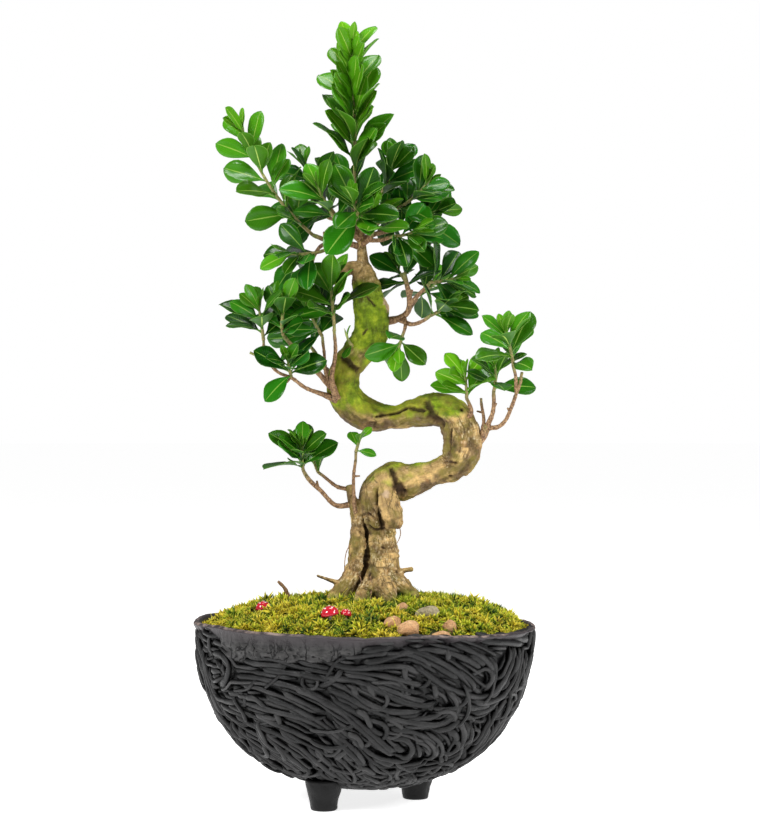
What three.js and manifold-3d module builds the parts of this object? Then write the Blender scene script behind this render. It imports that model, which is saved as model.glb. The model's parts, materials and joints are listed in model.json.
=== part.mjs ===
// Ficus ginseng bonsai: an S-shaped trunk with leafy shoots, standing in a mossed bowl on three feet.
// Millimetres, +Z up. The origin is on the bowl's axis, at the level of the surface under its feet.
// -Y is the side that the tree is looked at from.

import * as THREE from "three";
import { mergeVertices } from "three/addons/utils/BufferGeometryUtils.js";
import Module from "manifold-3d";

const wasm = await Module();
wasm.setup();

// Driving dimensions of the bowl
const BOWL_RADIUS = 200;
const RIM_HEIGHT = 210;
const RIM_SLOPE = 3.5;
const BASE_HEIGHT = 17;
const BOWL_FULLNESS = 2.3;
const WALL = 11;
const LIP_WIDTH = 9;
const STRAND_ROWS = 12;
const STRAND_RELIEF = 3.4;
const STRAND_SETBACK = 2.5;
const DRAIN_RADIUS = 9;
const FEET = [
  [-46, -66],
  [60, 18],
  [-48, 64],
];
const FOOT_TOP_RADIUS = 19;
const FOOT_SOLE_RADIUS = 15;
const FOOT_HEIGHT = 42;
const FOOT_BURY = 1;
const BOWL_SIDES = 40;

// Driving dimensions of the filling
const GAP = 0.35;
const SOIL_EDGE = 194;
const SOIL_CROWN = 33;
const MOSS_THICKNESS = 12;
const MOSS_LUMP = 2.2;
const MOSS_THINNING = 3;
const MOSS_EDGE_GAP = 1.2;
const FILL_SIDES = 20;
const MOUND_RADIUS = BOWL_RADIUS - WALL - 3;

// Driving dimensions of the leaves
const BLADE_THICKNESS = 1;
const BLADE_CLEARANCE = 0.9;
const GOLDEN_ANGLE = 137.5;
const FIRST_LEAF = 0.12;
const LAST_LEAF = 0.97;
const LEAF_ROOT = 0.2;
const SHOOT_RADIUS = 2;
const TIP_RADIUS = 1.4;
const STEM_STEP = 20;
const FOLIAGE_REACH = 199;
const NARROWEST = 0.25;
const BROADEST = 0.3;
const LEAST_DROOP = 0.05;
const MOST_DROOP = 0.26;
const WIDEST_OPEN = 70;
const TIP_OPEN = 24;
const LEAF_SWAY = 16;
const TIP_SHORTENING = 0.38;
const SHORTEST = 0.88;
const LENGTH_SPREAD = 0.24;
const AXIS_PULL = 0.55;

// The leaves turn their upper sides to the light: from the front, or from above for the most arched ones.
const LOW_LIGHT = new THREE.Vector3(0, -0.95, 0.4);
const HIGH_LIGHT = new THREE.Vector3(0, -0.3, 0.95);

// Rings of a blade: how far along its length, and its half width there as a share of the widest.
const BLADE_RINGS = [
  [0, 0],
  [0.43, 0.84],
  [0.79, 0.92],
  [1, 0],
];
const INNER_SHARE = 0.2;

// How a leaf turns round its shoot and lifts from it, in degrees, when its first place is taken.
const LEAF_TURNS = [0, 20, -20, 40, -40, 12, -12, 62, -62, 84, -84, 110];
const LEAF_LIFTS = [0, 0, 0, -8, -8, 14, 14, 0, 0, -12, -12, 10];

// Wood. Each limb is a run of [x, y, z, radius].
const TRUNK = [
  [8, 0, 150, 16],
  [10, 0, 212, 27],
  [18, -2, 250, 25],
  [21, -3, 281, 19],
  [19, -3, 312, 16],
  [14, -3, 337, 20],
  [17, -4, 358, 23.5],
  [32, -8, 373, 22.5],
  [50, -11, 374, 20.5],
  [67, -13, 379, 16.5],
  [86, -15, 386, 14.5],
  [103, -16, 393, 18],
  [114, -17, 411, 21.5],
  [112, -16, 434, 21.5],
  [100, -12, 453, 20],
  [84, -7, 457, 20],
  [68, -3, 455, 18],
  [52, 1, 453, 15],
  [34, 5, 449, 13.5],
  [10, 9, 450, 18],
  [-12, 8, 461, 19.5],
  [-25, 6, 482, 19],
  [-21, 4, 506, 18],
  [-6, 1, 525, 18],
  [7, -2, 545, 19],
  [9, -4, 568, 19.5],
  [4, -3, 590, 17.5],
  [-1, -1, 608, 15],
  [-2, -1, 618, 12.5],
  [-2, 0, 627, 8],
  [-3, 0, 640, 6.2],
  [-4, 1, 655, 5.2],
  [-7, 2, 680, 4.3],
  [-9, 2, 700, 3.4],
  [-12, 1, 716, 2.6],
];
const SIDE_STEM = [
  [-42, -12, 214, 10],
  [-26, -9, 240, 15],
  [-13, -7, 260, 14],
  [-6, -6, 281, 11.5],
  [-5, -6, 301, 11],
  [-6, -6, 322, 10],
  [-10, -6, 340, 8],
  [-15, -6, 355, 5.8],
  [-18, -6, 370, 4.6],
];
const ROOTS = [
  [[22, -4, 268, 15], [41, -10, 250, 14], [60, -15, 236, 8]],
  [[18, -12, 262, 13], [26, -34, 246, 10], [31, -52, 235, 6]],
  [[8, -10, 260, 12], [-2, -30, 244, 8], [-10, -46, 235, 5]],
  [[20, 8, 262, 14], [36, 30, 246, 10], [50, 48, 235, 6]],
  [[4, 8, 258, 13], [-12, 32, 244, 9], [-26, 50, 235, 5]],
];
const STUBS = [
  [[22, -12, 376, 9], [26, -25, 364, 10.5], [30, -29, 348, 11], [34, -29, 334, 10.5], [34, -27, 321, 7]],
  [[28, -5, 265, 5.5], [46, -9, 270, 3.2], [57, -10, 272, 3.4]],
  [[-26, -10, 254, 4], [-45, -15, 261, 2.3], [-56, -18, 265, 1.9]],
  [[-3, -3, 621, 9], [-16, -8, 623, 7.5], [-28, -9, 614, 7], [-34, -9, 603, 5.5]],
];
const TWIGS = [
  // from the side stem
  [
    [-14, -6, 347, 3.8], [-35, -12, 347, 2.8], [-51, -17, 364, 2.5], [-66, -21, 378, 2.5],
    [-71, -22, 387, 2.1],
  ],
  [[-16, -5, 364, 2.9], [-30, -3, 367, 2.3], [-42, 2, 375, 2], [-54, 6, 384, 1.8]],
  [
    [-9, -11, 334, 3.2], [-12, -14, 352, 2.2], [-13, -15, 370, 2], [-11, -16, 392, 1.8],
    [-10, -17, 408, 1.7],
  ],
  // from the middle bend, to the left
  [[-28, -1, 476, 6], [-43, -8, 489, 4], [-65, -16, 512, 3], [-82, -22, 529, 2.5], [-94, -26, 544, 2.1]],
  [
    [-30, -2, 468, 5], [-55, -6, 478, 2.8], [-72, -12, 485, 2.2], [-84, -18, 494, 2],
    [-101, -20, 502, 1.9], [-118, -22, 517, 1.7], [-133, -23, 524, 1.5],
  ],
  [[-115, -22, 514, 1.7], [-117, -23, 526, 1.7], [-117, -24, 538, 1.6]],
  [
    [-32, -9, 470, 5], [-38, -16, 490, 3.3], [-35, -21, 512, 2.4], [-34, -24, 535, 2.1],
    [-35, -26, 556, 1.8],
  ],
  [[-40, -8, 486, 3], [-46, -13, 505, 2], [-47, -15, 527, 1.8], [-49, -16, 543, 1.7]],
  [[-26, 8, 488, 5], [-48, 25, 508, 3], [-62, 41, 530, 2.2]],
  // from the upper trunk, to the right
  [
    [20, -3, 561, 6], [38, -6, 563, 4.2], [50, -9, 571, 3.5], [52, -11, 588, 3.1],
    [49, -12, 607, 2.8], [46, -12, 618, 2.5],
  ],
  [[52, -10, 580, 2.8], [66, -15, 594, 2.3], [77, -18, 606, 2]],
  [[40, -6, 563, 3.2], [55, -14, 557, 2.5], [67, -19, 561, 2.1], [77, -22, 567, 1.9]],
  [[45, -7, 567, 3], [56, 10, 580, 2.5], [62, 30, 592, 2]],
  [[46, -8, 566, 2.6], [48, -18, 554, 2], [44, -22, 543, 1.8]],
  // from the right bend
  [[122, -17, 408, 8], [136, -24, 425, 5.4], [143, -30, 440, 4.4]],
  [[142, -29, 437, 3.4], [147, -38, 450, 2.7], [149, -44, 466, 2.4], [149, -48, 479, 2.1]],
  [
    [142, -29, 436, 3.2], [154, -40, 438, 2.5], [163, -50, 447, 2.3], [170, -58, 462, 2.2],
    [174, -66, 478, 2.1], [178, -70, 488, 1.9], [180, -74, 500, 1.6],
  ],
  [[174, -66, 477, 2.1], [173, -72, 492, 2], [170, -78, 506, 1.8]],
  [[136, -24, 425, 2.8], [138, -30, 444, 2.1], [136, -31, 460, 1.8], [135, -32, 471, 1.5]],
  [[116, -22, 442, 4], [124, -34, 455, 2.6], [121, -38, 464, 2.3], [118, -40, 471, 2]],
  // boughs of the crown
  [[-4, 1, 648, 4.2], [-22, -4, 652, 3.3], [-42, -10, 654, 2.8], [-60, -14, 661, 2.3]],
  [[-6, 1, 664, 3.8], [-20, 8, 676, 2.9], [-35, 14, 688, 2.2]],
  [[-5, 0, 656, 3.6], [-18, -18, 664, 2.7], [-30, -34, 672, 2.1]],
  [[-24, -5, 652, 2.8], [-38, -22, 646, 2.3], [-52, -34, 640, 2]],
  [[-42, -10, 654, 2.5], [-54, 4, 646, 2.1], [-60, 13, 637, 1.9]],
  [[-6, 1, 670, 3.4], [-8, -20, 676, 2.6], [-6, -37, 680, 2.1]],
  [[-4, 1, 650, 3.6], [6, -15, 656, 2.7], [10, -27, 664, 2.1]],
  [[-8, 2, 684, 3.4], [5, 6, 694, 2.7], [17, 8, 706, 2.1]],
  [[-6, 1, 667, 3.8], [14, -4, 680, 3], [34, -10, 690, 2.3]],
  [[-5, 1, 657, 3.6], [16, 2, 664, 2.9], [38, 2, 670, 2.2]],
  [[5, -14, 655, 2.7], [22, -28, 655, 2.2], [34, -38, 658, 1.9]],
  [[-8, 2, 686, 3.2], [-12, 24, 695, 2.5], [-16, 42, 704, 2.1]],
  [[-6, 2, 663, 3.4], [10, 26, 674, 2.7], [20, 47, 684, 2.1]],
  [[-19, 8, 675, 2.8], [-34, 32, 682, 2.3], [-46, 50, 688, 2]],
];

// Leafy shoots: where each starts, bends and ends, how many leaves it has, how long they are,
// and the bearing of the first.
const SHOOTS = [
  {
    name: "shoot_spire", path: [[-12, 1, 716], [-10, 0, 800], [-15, -3, 884]],
    leaves: 21, length: 60, bearing: 20, open: 46,
  },
  {
    name: "shoot_crown_left_long", path: [[-60, -14, 661], [-114, -22, 706], [-141, -30, 781]],
    leaves: 14, length: 57, bearing: 0, open: 60,
  },
  {
    name: "shoot_crown_left_back", path: [[-35, 14, 688], [-56, 18, 714], [-72, 22, 746]],
    leaves: 7, length: 53, bearing: 40,
  },
  {
    name: "shoot_crown_left_front", path: [[-30, -34, 672], [-42, -42, 690], [-52, -46, 710]],
    leaves: 7, length: 59, bearing: 70,
  },
  {
    name: "shoot_crown_low_left", path: [[-52, -34, 640], [-70, -42, 636], [-86, -48, 637]],
    leaves: 7, length: 53, bearing: 90,
  },
  {
    name: "shoot_crown_low_left_back", path: [[-60, 13, 637], [-64, 18, 624], [-65, 22, 611]],
    leaves: 7, length: 50, bearing: 30,
  },
  {
    name: "shoot_crown_front", path: [[-6, -37, 680], [-8, -48, 684], [-12, -56, 694]],
    leaves: 7, length: 59, bearing: 120,
  },
  {
    name: "shoot_crown_young", path: [[10, -27, 664], [11, -33, 676], [9, -37, 692]],
    leaves: 7, length: 53, bearing: 60,
  },
  {
    name: "shoot_crown_right_high", path: [[17, 8, 706], [27, 9, 724], [33, 10, 746]],
    leaves: 8, length: 53, bearing: 10,
  },
  {
    name: "shoot_crown_right", path: [[34, -10, 690], [56, -14, 700], [72, -18, 720]],
    leaves: 8, length: 53, bearing: 50,
  },
  {
    name: "shoot_crown_right_low", path: [[38, 2, 670], [62, 0, 676], [84, -4, 690]],
    leaves: 8, length: 53, bearing: 0,
  },
  {
    name: "shoot_crown_front_right", path: [[34, -38, 658], [45, -45, 657], [56, -50, 662]],
    leaves: 6, length: 53, bearing: 80,
  },
  {
    name: "shoot_crown_back_high", path: [[-16, 42, 704], [-20, 58, 712], [-24, 74, 728]],
    leaves: 7, length: 56, bearing: 15,
  },
  {
    name: "shoot_crown_back_right", path: [[20, 47, 684], [30, 66, 690], [38, 84, 702]],
    leaves: 7, length: 56, bearing: 35,
  },
  {
    name: "shoot_crown_back_left", path: [[-46, 50, 688], [-62, 62, 692], [-78, 72, 704]],
    leaves: 7, length: 56, bearing: 55,
  },
  {
    name: "shoot_left_upright", path: [[-35, -26, 556], [-37, -29, 580], [-39, -31, 602]],
    leaves: 8, length: 57, bearing: 200,
  },
  {
    name: "shoot_left_outer", path: [[-117, -24, 538], [-119, -27, 556], [-122, -28, 574]],
    leaves: 8, length: 53, bearing: 90,
  },
  {
    name: "shoot_left_middle", path: [[-94, -26, 544], [-98, -31, 558], [-92, -35, 576]],
    leaves: 8, length: 56, bearing: 40,
  },
  {
    name: "shoot_left_low", path: [[-85, -20, 496], [-87, -28, 503], [-88, -36, 512]],
    leaves: 7, length: 48, bearing: 160,
  },
  {
    name: "shoot_left_inner", path: [[-49, -16, 543], [-57, -16, 556], [-64, -18, 570]],
    leaves: 7, length: 50, bearing: 130,
  },
  {
    name: "shoot_left_back", path: [[-62, 41, 530], [-72, 50, 540], [-84, 58, 554]],
    leaves: 8, length: 53, bearing: 20,
  },
  {
    name: "shoot_right_upper", path: [[51, -8, 600], [46, 2, 612], [38, 8, 624]],
    leaves: 7, length: 50, bearing: 110,
  },
  {
    name: "shoot_right_outer", path: [[77, -18, 606], [91, -21, 606], [104, -23, 610]],
    leaves: 8, length: 50, bearing: 45,
  },
  {
    name: "shoot_right_drooping", path: [[77, -22, 567], [88, -25, 572], [97, -27, 580]],
    leaves: 8, length: 48, bearing: 60,
  },
  {
    name: "shoot_right_hanging", path: [[44, -22, 543], [42, -26, 536], [40, -30, 528]],
    leaves: 6, length: 48, bearing: 25,
  },
  {
    name: "shoot_right_back", path: [[62, 30, 592], [72, 42, 598], [84, 52, 608]],
    leaves: 8, length: 53, bearing: 85,
  },
  {
    name: "shoot_bend_near", path: [[118, -40, 471], [118, -46, 482], [116, -50, 496]],
    leaves: 7, length: 48, bearing: 150,
  },
  {
    name: "shoot_bend_outer", path: [[170, -78, 506], [168, -84, 522], [161, -88, 544]],
    leaves: 9, length: 50, bearing: 30,
  },
  {
    name: "shoot_bend_middle", path: [[149, -48, 479], [152, -52, 492], [150, -56, 506]],
    leaves: 8, length: 48, bearing: 100,
  },
  {
    name: "shoot_low_left", path: [[-71, -22, 387], [-73, -24, 398], [-72, -27, 412]],
    leaves: 10, length: 53, bearing: 170,
  },
  {
    name: "shoot_low_left_small", path: [[-54, 6, 384], [-57, 8, 389], [-59, 9, 395]],
    leaves: 3, length: 28, bearing: 10,
  },
  {
    name: "shoot_low_thin", path: [[-10, -17, 408], [-8, -19, 416], [-5, -21, 424]],
    leaves: 4, length: 26, bearing: 75,
  },
  {
    name: "shoot_trunk_sprout", path: [[-14, -14, 532], [-18, -20, 536], [-20, -24, 542]],
    leaves: 2, length: 22, bearing: 190,
  },
];

// Stones on the moss: place, three half sizes, turn about Z in degrees and how deep it is sunk.
const STONES = [
  { name: "stone_front", at: [50, -162], half: [12.8, 10.5, 10], turn: 8, sink: 11 },
  { name: "stone_front_left", at: [31, -145], half: [10.5, 10, 10.5], turn: 60, sink: 14 },
  { name: "stone_long", at: [72, -118], half: [13.5, 9, 8.5], turn: -22, sink: 6 },
  { name: "stone_right", at: [95, -133], half: [8.5, 8.5, 9], turn: 15, sink: 10 },
  { name: "stone_edge", at: [85, -154], half: [14.5, 8.5, 8.5], turn: -6, sink: 14 },
  { name: "stone_root", at: [43, -95], half: [6.5, 6.5, 6], turn: 40, sink: 5 },
];
const STONE_KNOB = 0.1;

// Toadstool ornaments: place, cap radius and lean to the right in degrees.
const TOADSTOOLS = [
  { name: "toadstool_left", at: [-116, -49], cap: 9, lean: -4 },
  { name: "toadstool_middle", at: [-37.5, -138], cap: 10.3, lean: -12 },
  { name: "toadstool_small", at: [-20, -131], cap: 6.5, lean: 10 },
];
const CAP_RISE = 0.95;
const CAP_LIFT = 2;
const CAP_EDGE = 1.2;
const CAP_SOLE = 0.86;
const PICK_RADIUS = 1.9;
const PICK_LENGTH = 34;

const STICK = [[-84, 4, 226, 2.2], [-93, 0, 248, 2.2], [-101, -4, 257, 1.8]];

const COLOURS = {
  bowl: { color: 0x2b2b2c, roughness: 0.75, metalness: 0 },
  soil: { color: 0x2e2118, roughness: 1, metalness: 0 },
  moss: { color: 0x8a9420, roughness: 1, metalness: 0 },
  wood: { color: 0x9a7d52, roughness: 0.8, metalness: 0 },
  leaf: { color: 0x2f7a1c, roughness: 0.35, metalness: 0 },
  stone: { color: 0xd0a978, roughness: 0.85, metalness: 0 },
  cap: { color: 0xc4141c, roughness: 0.3, metalness: 0 },
  pick: { color: 0xe8e2cf, roughness: 0.6, metalness: 0 },
};

const radians = THREE.MathUtils.degToRad;
const smoothstep = THREE.MathUtils.smoothstep;
const vector = ([x, y, z]) => new THREE.Vector3(x, y, z);

// A closed geometry as a solid that can be joined and cut. Triangles with a side of no length are left out.
function solid(geometry) {
  geometry.deleteAttribute("normal");
  geometry.deleteAttribute("uv");
  const merged = mergeVertices(geometry, 1e-4);
  const corners = [];
  for (let i = 0; i < merged.index.count; i += 3) {
    const [a, b, c] = [0, 1, 2].map((k) => merged.index.getX(i + k));
    if (a !== b && b !== c && c !== a) corners.push(a, b, c);
  }
  return new wasm.Manifold(
    new wasm.Mesh({
      numProp: 3,
      vertProperties: merged.attributes.position.array,
      triVerts: new Uint32Array(corners),
    }),
  );
}

// A solid's surface as a geometry, for a mesh.
function surface(body) {
  const mesh = body.getMesh();
  const geometry = new THREE.BufferGeometry();
  geometry.setAttribute("position", new THREE.BufferAttribute(mesh.vertProperties, 3));
  geometry.setIndex(new THREE.BufferAttribute(mesh.triVerts, 1));
  geometry.computeVertexNormals();
  return geometry;
}

// The largest connected body, without the scraps that a cut can leave.
function largest(body) {
  return body.decompose().reduce((best, next) => (next.volume() > best.volume() ? next : best));
}

// Moves every vertex of a geometry by a rule.
function reshape(geometry, rule) {
  const position = geometry.attributes.position;
  const point = new THREE.Vector3();
  for (let i = 0; i < position.count; i++) {
    point.fromBufferAttribute(position, i);
    rule(point);
    position.setXYZ(i, point.x, point.y, point.z);
  }
  return geometry;
}

// Seeded draws from 0 to 1.
function draws(seed) {
  let state = seed;
  return () => {
    state = (state * 16807) % 2147483647;
    return state / 2147483647;
  };
}

// A round limb along a run of [x, y, z, radius]: a cylinder bent along the curve. grow swells it evenly.
function limb(run, sides, stepLength, grow = 0, ribs = () => 1) {
  const path = new THREE.CatmullRomCurve3(run.map(vector));
  const steps = Math.max(2, Math.round(path.getLength() / stepLength));
  const frames = path.computeFrenetFrames(steps);
  const geometry = new THREE.CylinderGeometry(1, 1, 1, sides, steps);
  reshape(geometry, (point) => {
    const ring = Math.round((point.y + 0.5) * steps);
    const t = path.getUtoTmapping(ring / steps);
    const place = t * (run.length - 1);
    const before = Math.min(run.length - 2, Math.floor(place));
    const radius = THREE.MathUtils.lerp(run[before][3], run[before + 1][3], place - before);
    const swell = radius * ribs(Math.atan2(point.z, point.x), ring / steps) + grow;
    const end = ring === 0 ? -grow : ring === steps ? grow : 0;
    const across = frames.normals[ring].clone().multiplyScalar(point.x * swell);
    const along = frames.binormals[ring].clone().multiplyScalar(-point.z * swell);
    point.copy(path.getPoint(t)).add(across).add(along).addScaledVector(frames.tangents[ring], end);
  });
  return solid(geometry);
}

const join = (bodies) => bodies.reduce((all, next) => all.add(next));

// The trunk's section swells and narrows in long ribs that wind slowly round it.
const trunkRibs = (angle, share) =>
  1 + 0.07 * Math.sin(3 * angle + 17 * share) + 0.04 * Math.sin(5 * angle - 23 * share);

function woodLimbs(grow) {
  return [
    limb(TRUNK, 9, 19, grow, trunkRibs),
    limb(SIDE_STEM, 7, 18, grow),
    ...ROOTS.map((run) => limb(run, 6, 22, grow)),
    ...STUBS.map((run) => limb(run, 6, 14, grow)),
    ...TWIGS.map((run) => limb(run, run[0][3] < 4.5 ? 3 : 4, 32, grow)),
  ];
}

// The bowl's outer radius at a height: a full, round shape that stands in from the rim for the strands.
function bowlRadius(z, inset) {
  const drop = (RIM_HEIGHT - z) / (RIM_HEIGHT - BASE_HEIGHT);
  const share = Math.max(0, 1 - Math.pow(drop, BOWL_FULLNESS));
  return (BOWL_RADIUS - inset) * Math.pow(share, 1 / BOWL_FULLNESS);
}

// Heights of the bowl's rows, closer together low down where the wall turns under.
function bowlRows(low, high, count) {
  return Array.from({ length: count + 1 }, (_, i) => {
    const share = i / count;
    return low + (high - low) * Math.pow(share, 1.7);
  });
}

// Strands are laid round the bowl. They wave up and down, and swell and sink as they pass under each other.
const strandFade = (z) => smoothstep(z, 22, 36) * (1 - smoothstep(z, 166, 186));
const strandWave = (angle, z) => 5 * Math.sin(5 * angle + z / 30) + 4 * Math.sin(3 * angle - z / 17);
const strandSwell = (angle, z) => 0.65 + 0.35 * Math.sin(4 * angle + z / 9) * Math.cos(3 * angle - z / 21);

// How far the uneven rim stands above or below its mean height, highest at the left.
function rimWave(angle) {
  return -RIM_SLOPE * Math.cos(angle) + 0.9 * Math.sin(5 * angle + 1) + 0.6 * Math.sin(9 * angle);
}

function bowl() {
  const lowest = BASE_HEIGHT + 2;
  const outer = bowlRows(lowest, RIM_HEIGHT - 14, STRAND_ROWS).map((z, i) => {
    return new THREE.Vector2(bowlRadius(z, STRAND_SETBACK) + (i % 2) * STRAND_RELIEF * strandFade(z), z);
  });
  const inner = innerWall(0).reverse();
  const profile = [
    new THREE.Vector2(0, BASE_HEIGHT),
    new THREE.Vector2(outer[0].x - 6, BASE_HEIGHT),
    ...outer,
    new THREE.Vector2(BOWL_RADIUS, RIM_HEIGHT - 3),
    new THREE.Vector2(BOWL_RADIUS - LIP_WIDTH + 2, RIM_HEIGHT),
    ...inner,
  ];
  const geometry = reshape(new THREE.LatheGeometry(profile, BOWL_SIDES), (point) => {
    const angle = Math.atan2(point.x, point.z);
    const radius = Math.hypot(point.x, point.z);
    const relief = radius - bowlRadius(point.y, STRAND_SETBACK);
    if (relief > -0.5 && point.y > lowest + 1 && point.y < RIM_HEIGHT - 5) {
      const height = point.y + strandWave(angle, point.y) * strandFade(point.y);
      const scale = (bowlRadius(height, STRAND_SETBACK) + relief * strandSwell(angle, height)) / radius;
      point.set(point.x * scale, height, point.z * scale);
    }
    if (point.y > RIM_HEIGHT - 5) point.y += rimWave(angle - Math.PI / 2);
  }).rotateX(Math.PI / 2);
  const hollow = [...innerWall(-FOOT_BURY), new THREE.Vector2(0, SOIL_EDGE)];
  const cavity = solid(new THREE.LatheGeometry(hollow, BOWL_SIDES).rotateX(Math.PI / 2));
  const feet = FEET.map(([x, y]) => {
    const foot = new THREE.CylinderGeometry(FOOT_TOP_RADIUS, FOOT_SOLE_RADIUS, FOOT_HEIGHT, 14);
    return solid(foot.rotateX(Math.PI / 2).translate(x, y, FOOT_HEIGHT / 2)).subtract(cavity);
  });
  const drain = new THREE.CylinderGeometry(DRAIN_RADIUS, DRAIN_RADIUS, 3 * WALL, 12).rotateX(Math.PI / 2);
  return join([solid(geometry), ...feet]).subtract(solid(drain.translate(0, 0, BASE_HEIGHT + WALL / 2)));
}

// The bowl's inner wall from the axis up to the rim, drawn in by an inset.
function innerWall(inset) {
  const floor = BASE_HEIGHT + WALL;
  const rows = bowlRows(floor, SOIL_EDGE, 4).slice(1);
  const wall = rows.map((z) => new THREE.Vector2(bowlRadius(z - WALL, WALL) - inset, z + inset));
  return [new THREE.Vector2(0, floor + inset), new THREE.Vector2(wall[0].x - 22, floor + inset), ...wall];
}

// Height of the soil's mound over the rim of its bed, from the middle (1) to the edge (0).
function mound(radius) {
  const share = Math.min(1, radius / MOUND_RADIUS);
  return SOIL_CROWN * Math.pow(1 - Math.pow(share, 3.2), 0.8);
}

const MOUND_RINGS = [0.98, 0.88, 0.72, 0.5, 0.26, 0].map((share) => share * MOUND_RADIUS);

function soil(holes) {
  const top = MOUND_RINGS.map((r) => new THREE.Vector2(r, SOIL_EDGE + mound(r)));
  const geometry = new THREE.LatheGeometry([...innerWall(GAP), ...top], FILL_SIDES).rotateX(Math.PI / 2);
  return largest(solid(geometry).subtract(holes));
}

// Height of the moss over the soil's mound, in soft cushions that thin out at the edge.
function mossHeight(x, y) {
  const radius = Math.hypot(x, y);
  const cushions = Math.sin(x / 16 + 1) * Math.cos(y / 14) + 0.7 * Math.sin(x / 9 - y / 11);
  const lumps = (MOSS_LUMP * cushions - MOSS_THINNING) * smoothstep(radius, 20, 60);
  return MOSS_THICKNESS + lumps + mossBias(x, y);
}

// The moss stands higher on the right, behind the stones.
function mossBias(x, y) {
  return 4 * Math.exp(-((x - 105) ** 2 + (y - 10) ** 2) / 3600);
}

const mossTop = (x, y) => SOIL_EDGE + mound(Math.hypot(x, y)) + mossHeight(x, y);

function moss(holes) {
  const under = [...MOUND_RINGS].reverse().map((r) => new THREE.Vector2(r, SOIL_EDGE + mound(r) + GAP));
  const over = [1, 0.95, 0.83, 0.68, 0.51, 0.33, 0.15, 0].map(
    (share) => new THREE.Vector2(share * (BOWL_RADIUS - WALL - MOSS_EDGE_GAP), RIM_HEIGHT + 60),
  );
  const geometry = new THREE.LatheGeometry([...under, ...over], FILL_SIDES).rotateX(Math.PI / 2);
  reshape(geometry, (point) => {
    if (point.z > RIM_HEIGHT + 50) point.z = mossTop(point.x, point.y);
  });
  return largest(solid(geometry).subtract(holes));
}

// A weathered stone: a ball with blunt flats and knobs, sunk a little in the moss.
function stone({ at: [x, y], half, turn, sink }, grow = 0) {
  const draw = draws(Math.round(500 + 7 * x + 3 * y));
  const phase = [draw() * 6, draw() * 6, draw() * 6];
  const geometry = reshape(new THREE.IcosahedronGeometry(1, 1), (point) => {
    const flats = Math.sin(4 * point.x + phase[0]);
    const dents = Math.sin(4 * point.y + phase[1]) * Math.cos(3 * point.z + phase[2]);
    const knobs = 1 + STONE_KNOB * (flats + dents);
    point.set(
      point.x * (half[0] * knobs + grow),
      point.y * (half[1] * knobs + grow),
      point.z * (half[2] * knobs + grow),
    );
  });
  const level = mossTop(x, y) + half[2] - sink;
  return solid(geometry.rotateZ(radians(turn)).translate(x, y, level));
}

// A toadstool's cap: a shallow dome with a flat underside.
function toadstoolCap({ at: [x, y], cap, lean }, grow = 0) {
  const dome = Array.from({ length: 4 }, (_, i) => {
    const angle = (i / 3) * (Math.PI / 2);
    return new THREE.Vector2(Math.cos(angle) * (cap + grow), Math.sin(angle) * (cap * CAP_RISE + grow));
  });
  dome[3].x = 0;
  const underside = -grow - CAP_EDGE;
  const sole = new THREE.Vector2((cap + grow) * CAP_SOLE, underside);
  const profile = [new THREE.Vector2(0, underside), sole, ...dome];
  const geometry = new THREE.LatheGeometry(profile, 12).rotateX(Math.PI / 2).rotateY(radians(lean));
  return solid(geometry.translate(x, y, mossTop(x, y) + CAP_LIFT));
}

// The pick that a toadstool's cap sits on, which goes down through the moss into the soil.
function toadstoolPick({ at: [x, y], lean }, grow = 0) {
  const length = PICK_LENGTH + 2 * grow;
  const radius = PICK_RADIUS + grow;
  const geometry = new THREE.CylinderGeometry(radius, radius, length, 6).rotateX(Math.PI / 2);
  geometry.translate(0, 0, -CAP_EDGE - GAP - PICK_LENGTH / 2).rotateY(radians(lean));
  return solid(geometry.translate(x, y, mossTop(x, y) + CAP_LIFT));
}

// A point and direction along a shoot, from its start (0) to its tip (1).
function alongShoot({ path: [start, bend, tip] }, t) {
  const curve = new THREE.QuadraticBezierCurve3(vector(start), vector(bend), vector(tip));
  return { point: curve.getPoint(t), axis: curve.getTangent(t) };
}

// Two directions across a shoot. A leaf of bearing 0 grows towards the viewer, or upwards on a level shoot.
function acrossShoot({ path: [start, , tip] }, axis) {
  const run = vector(tip).sub(vector(start)).normalize();
  const towards = Math.abs(run.z) > 0.75 ? new THREE.Vector3(0, -1, 0) : new THREE.Vector3(0, 0, 1);
  const side = axis.clone().cross(towards).normalize();
  return { side, front: side.clone().cross(axis).normalize() };
}

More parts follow.
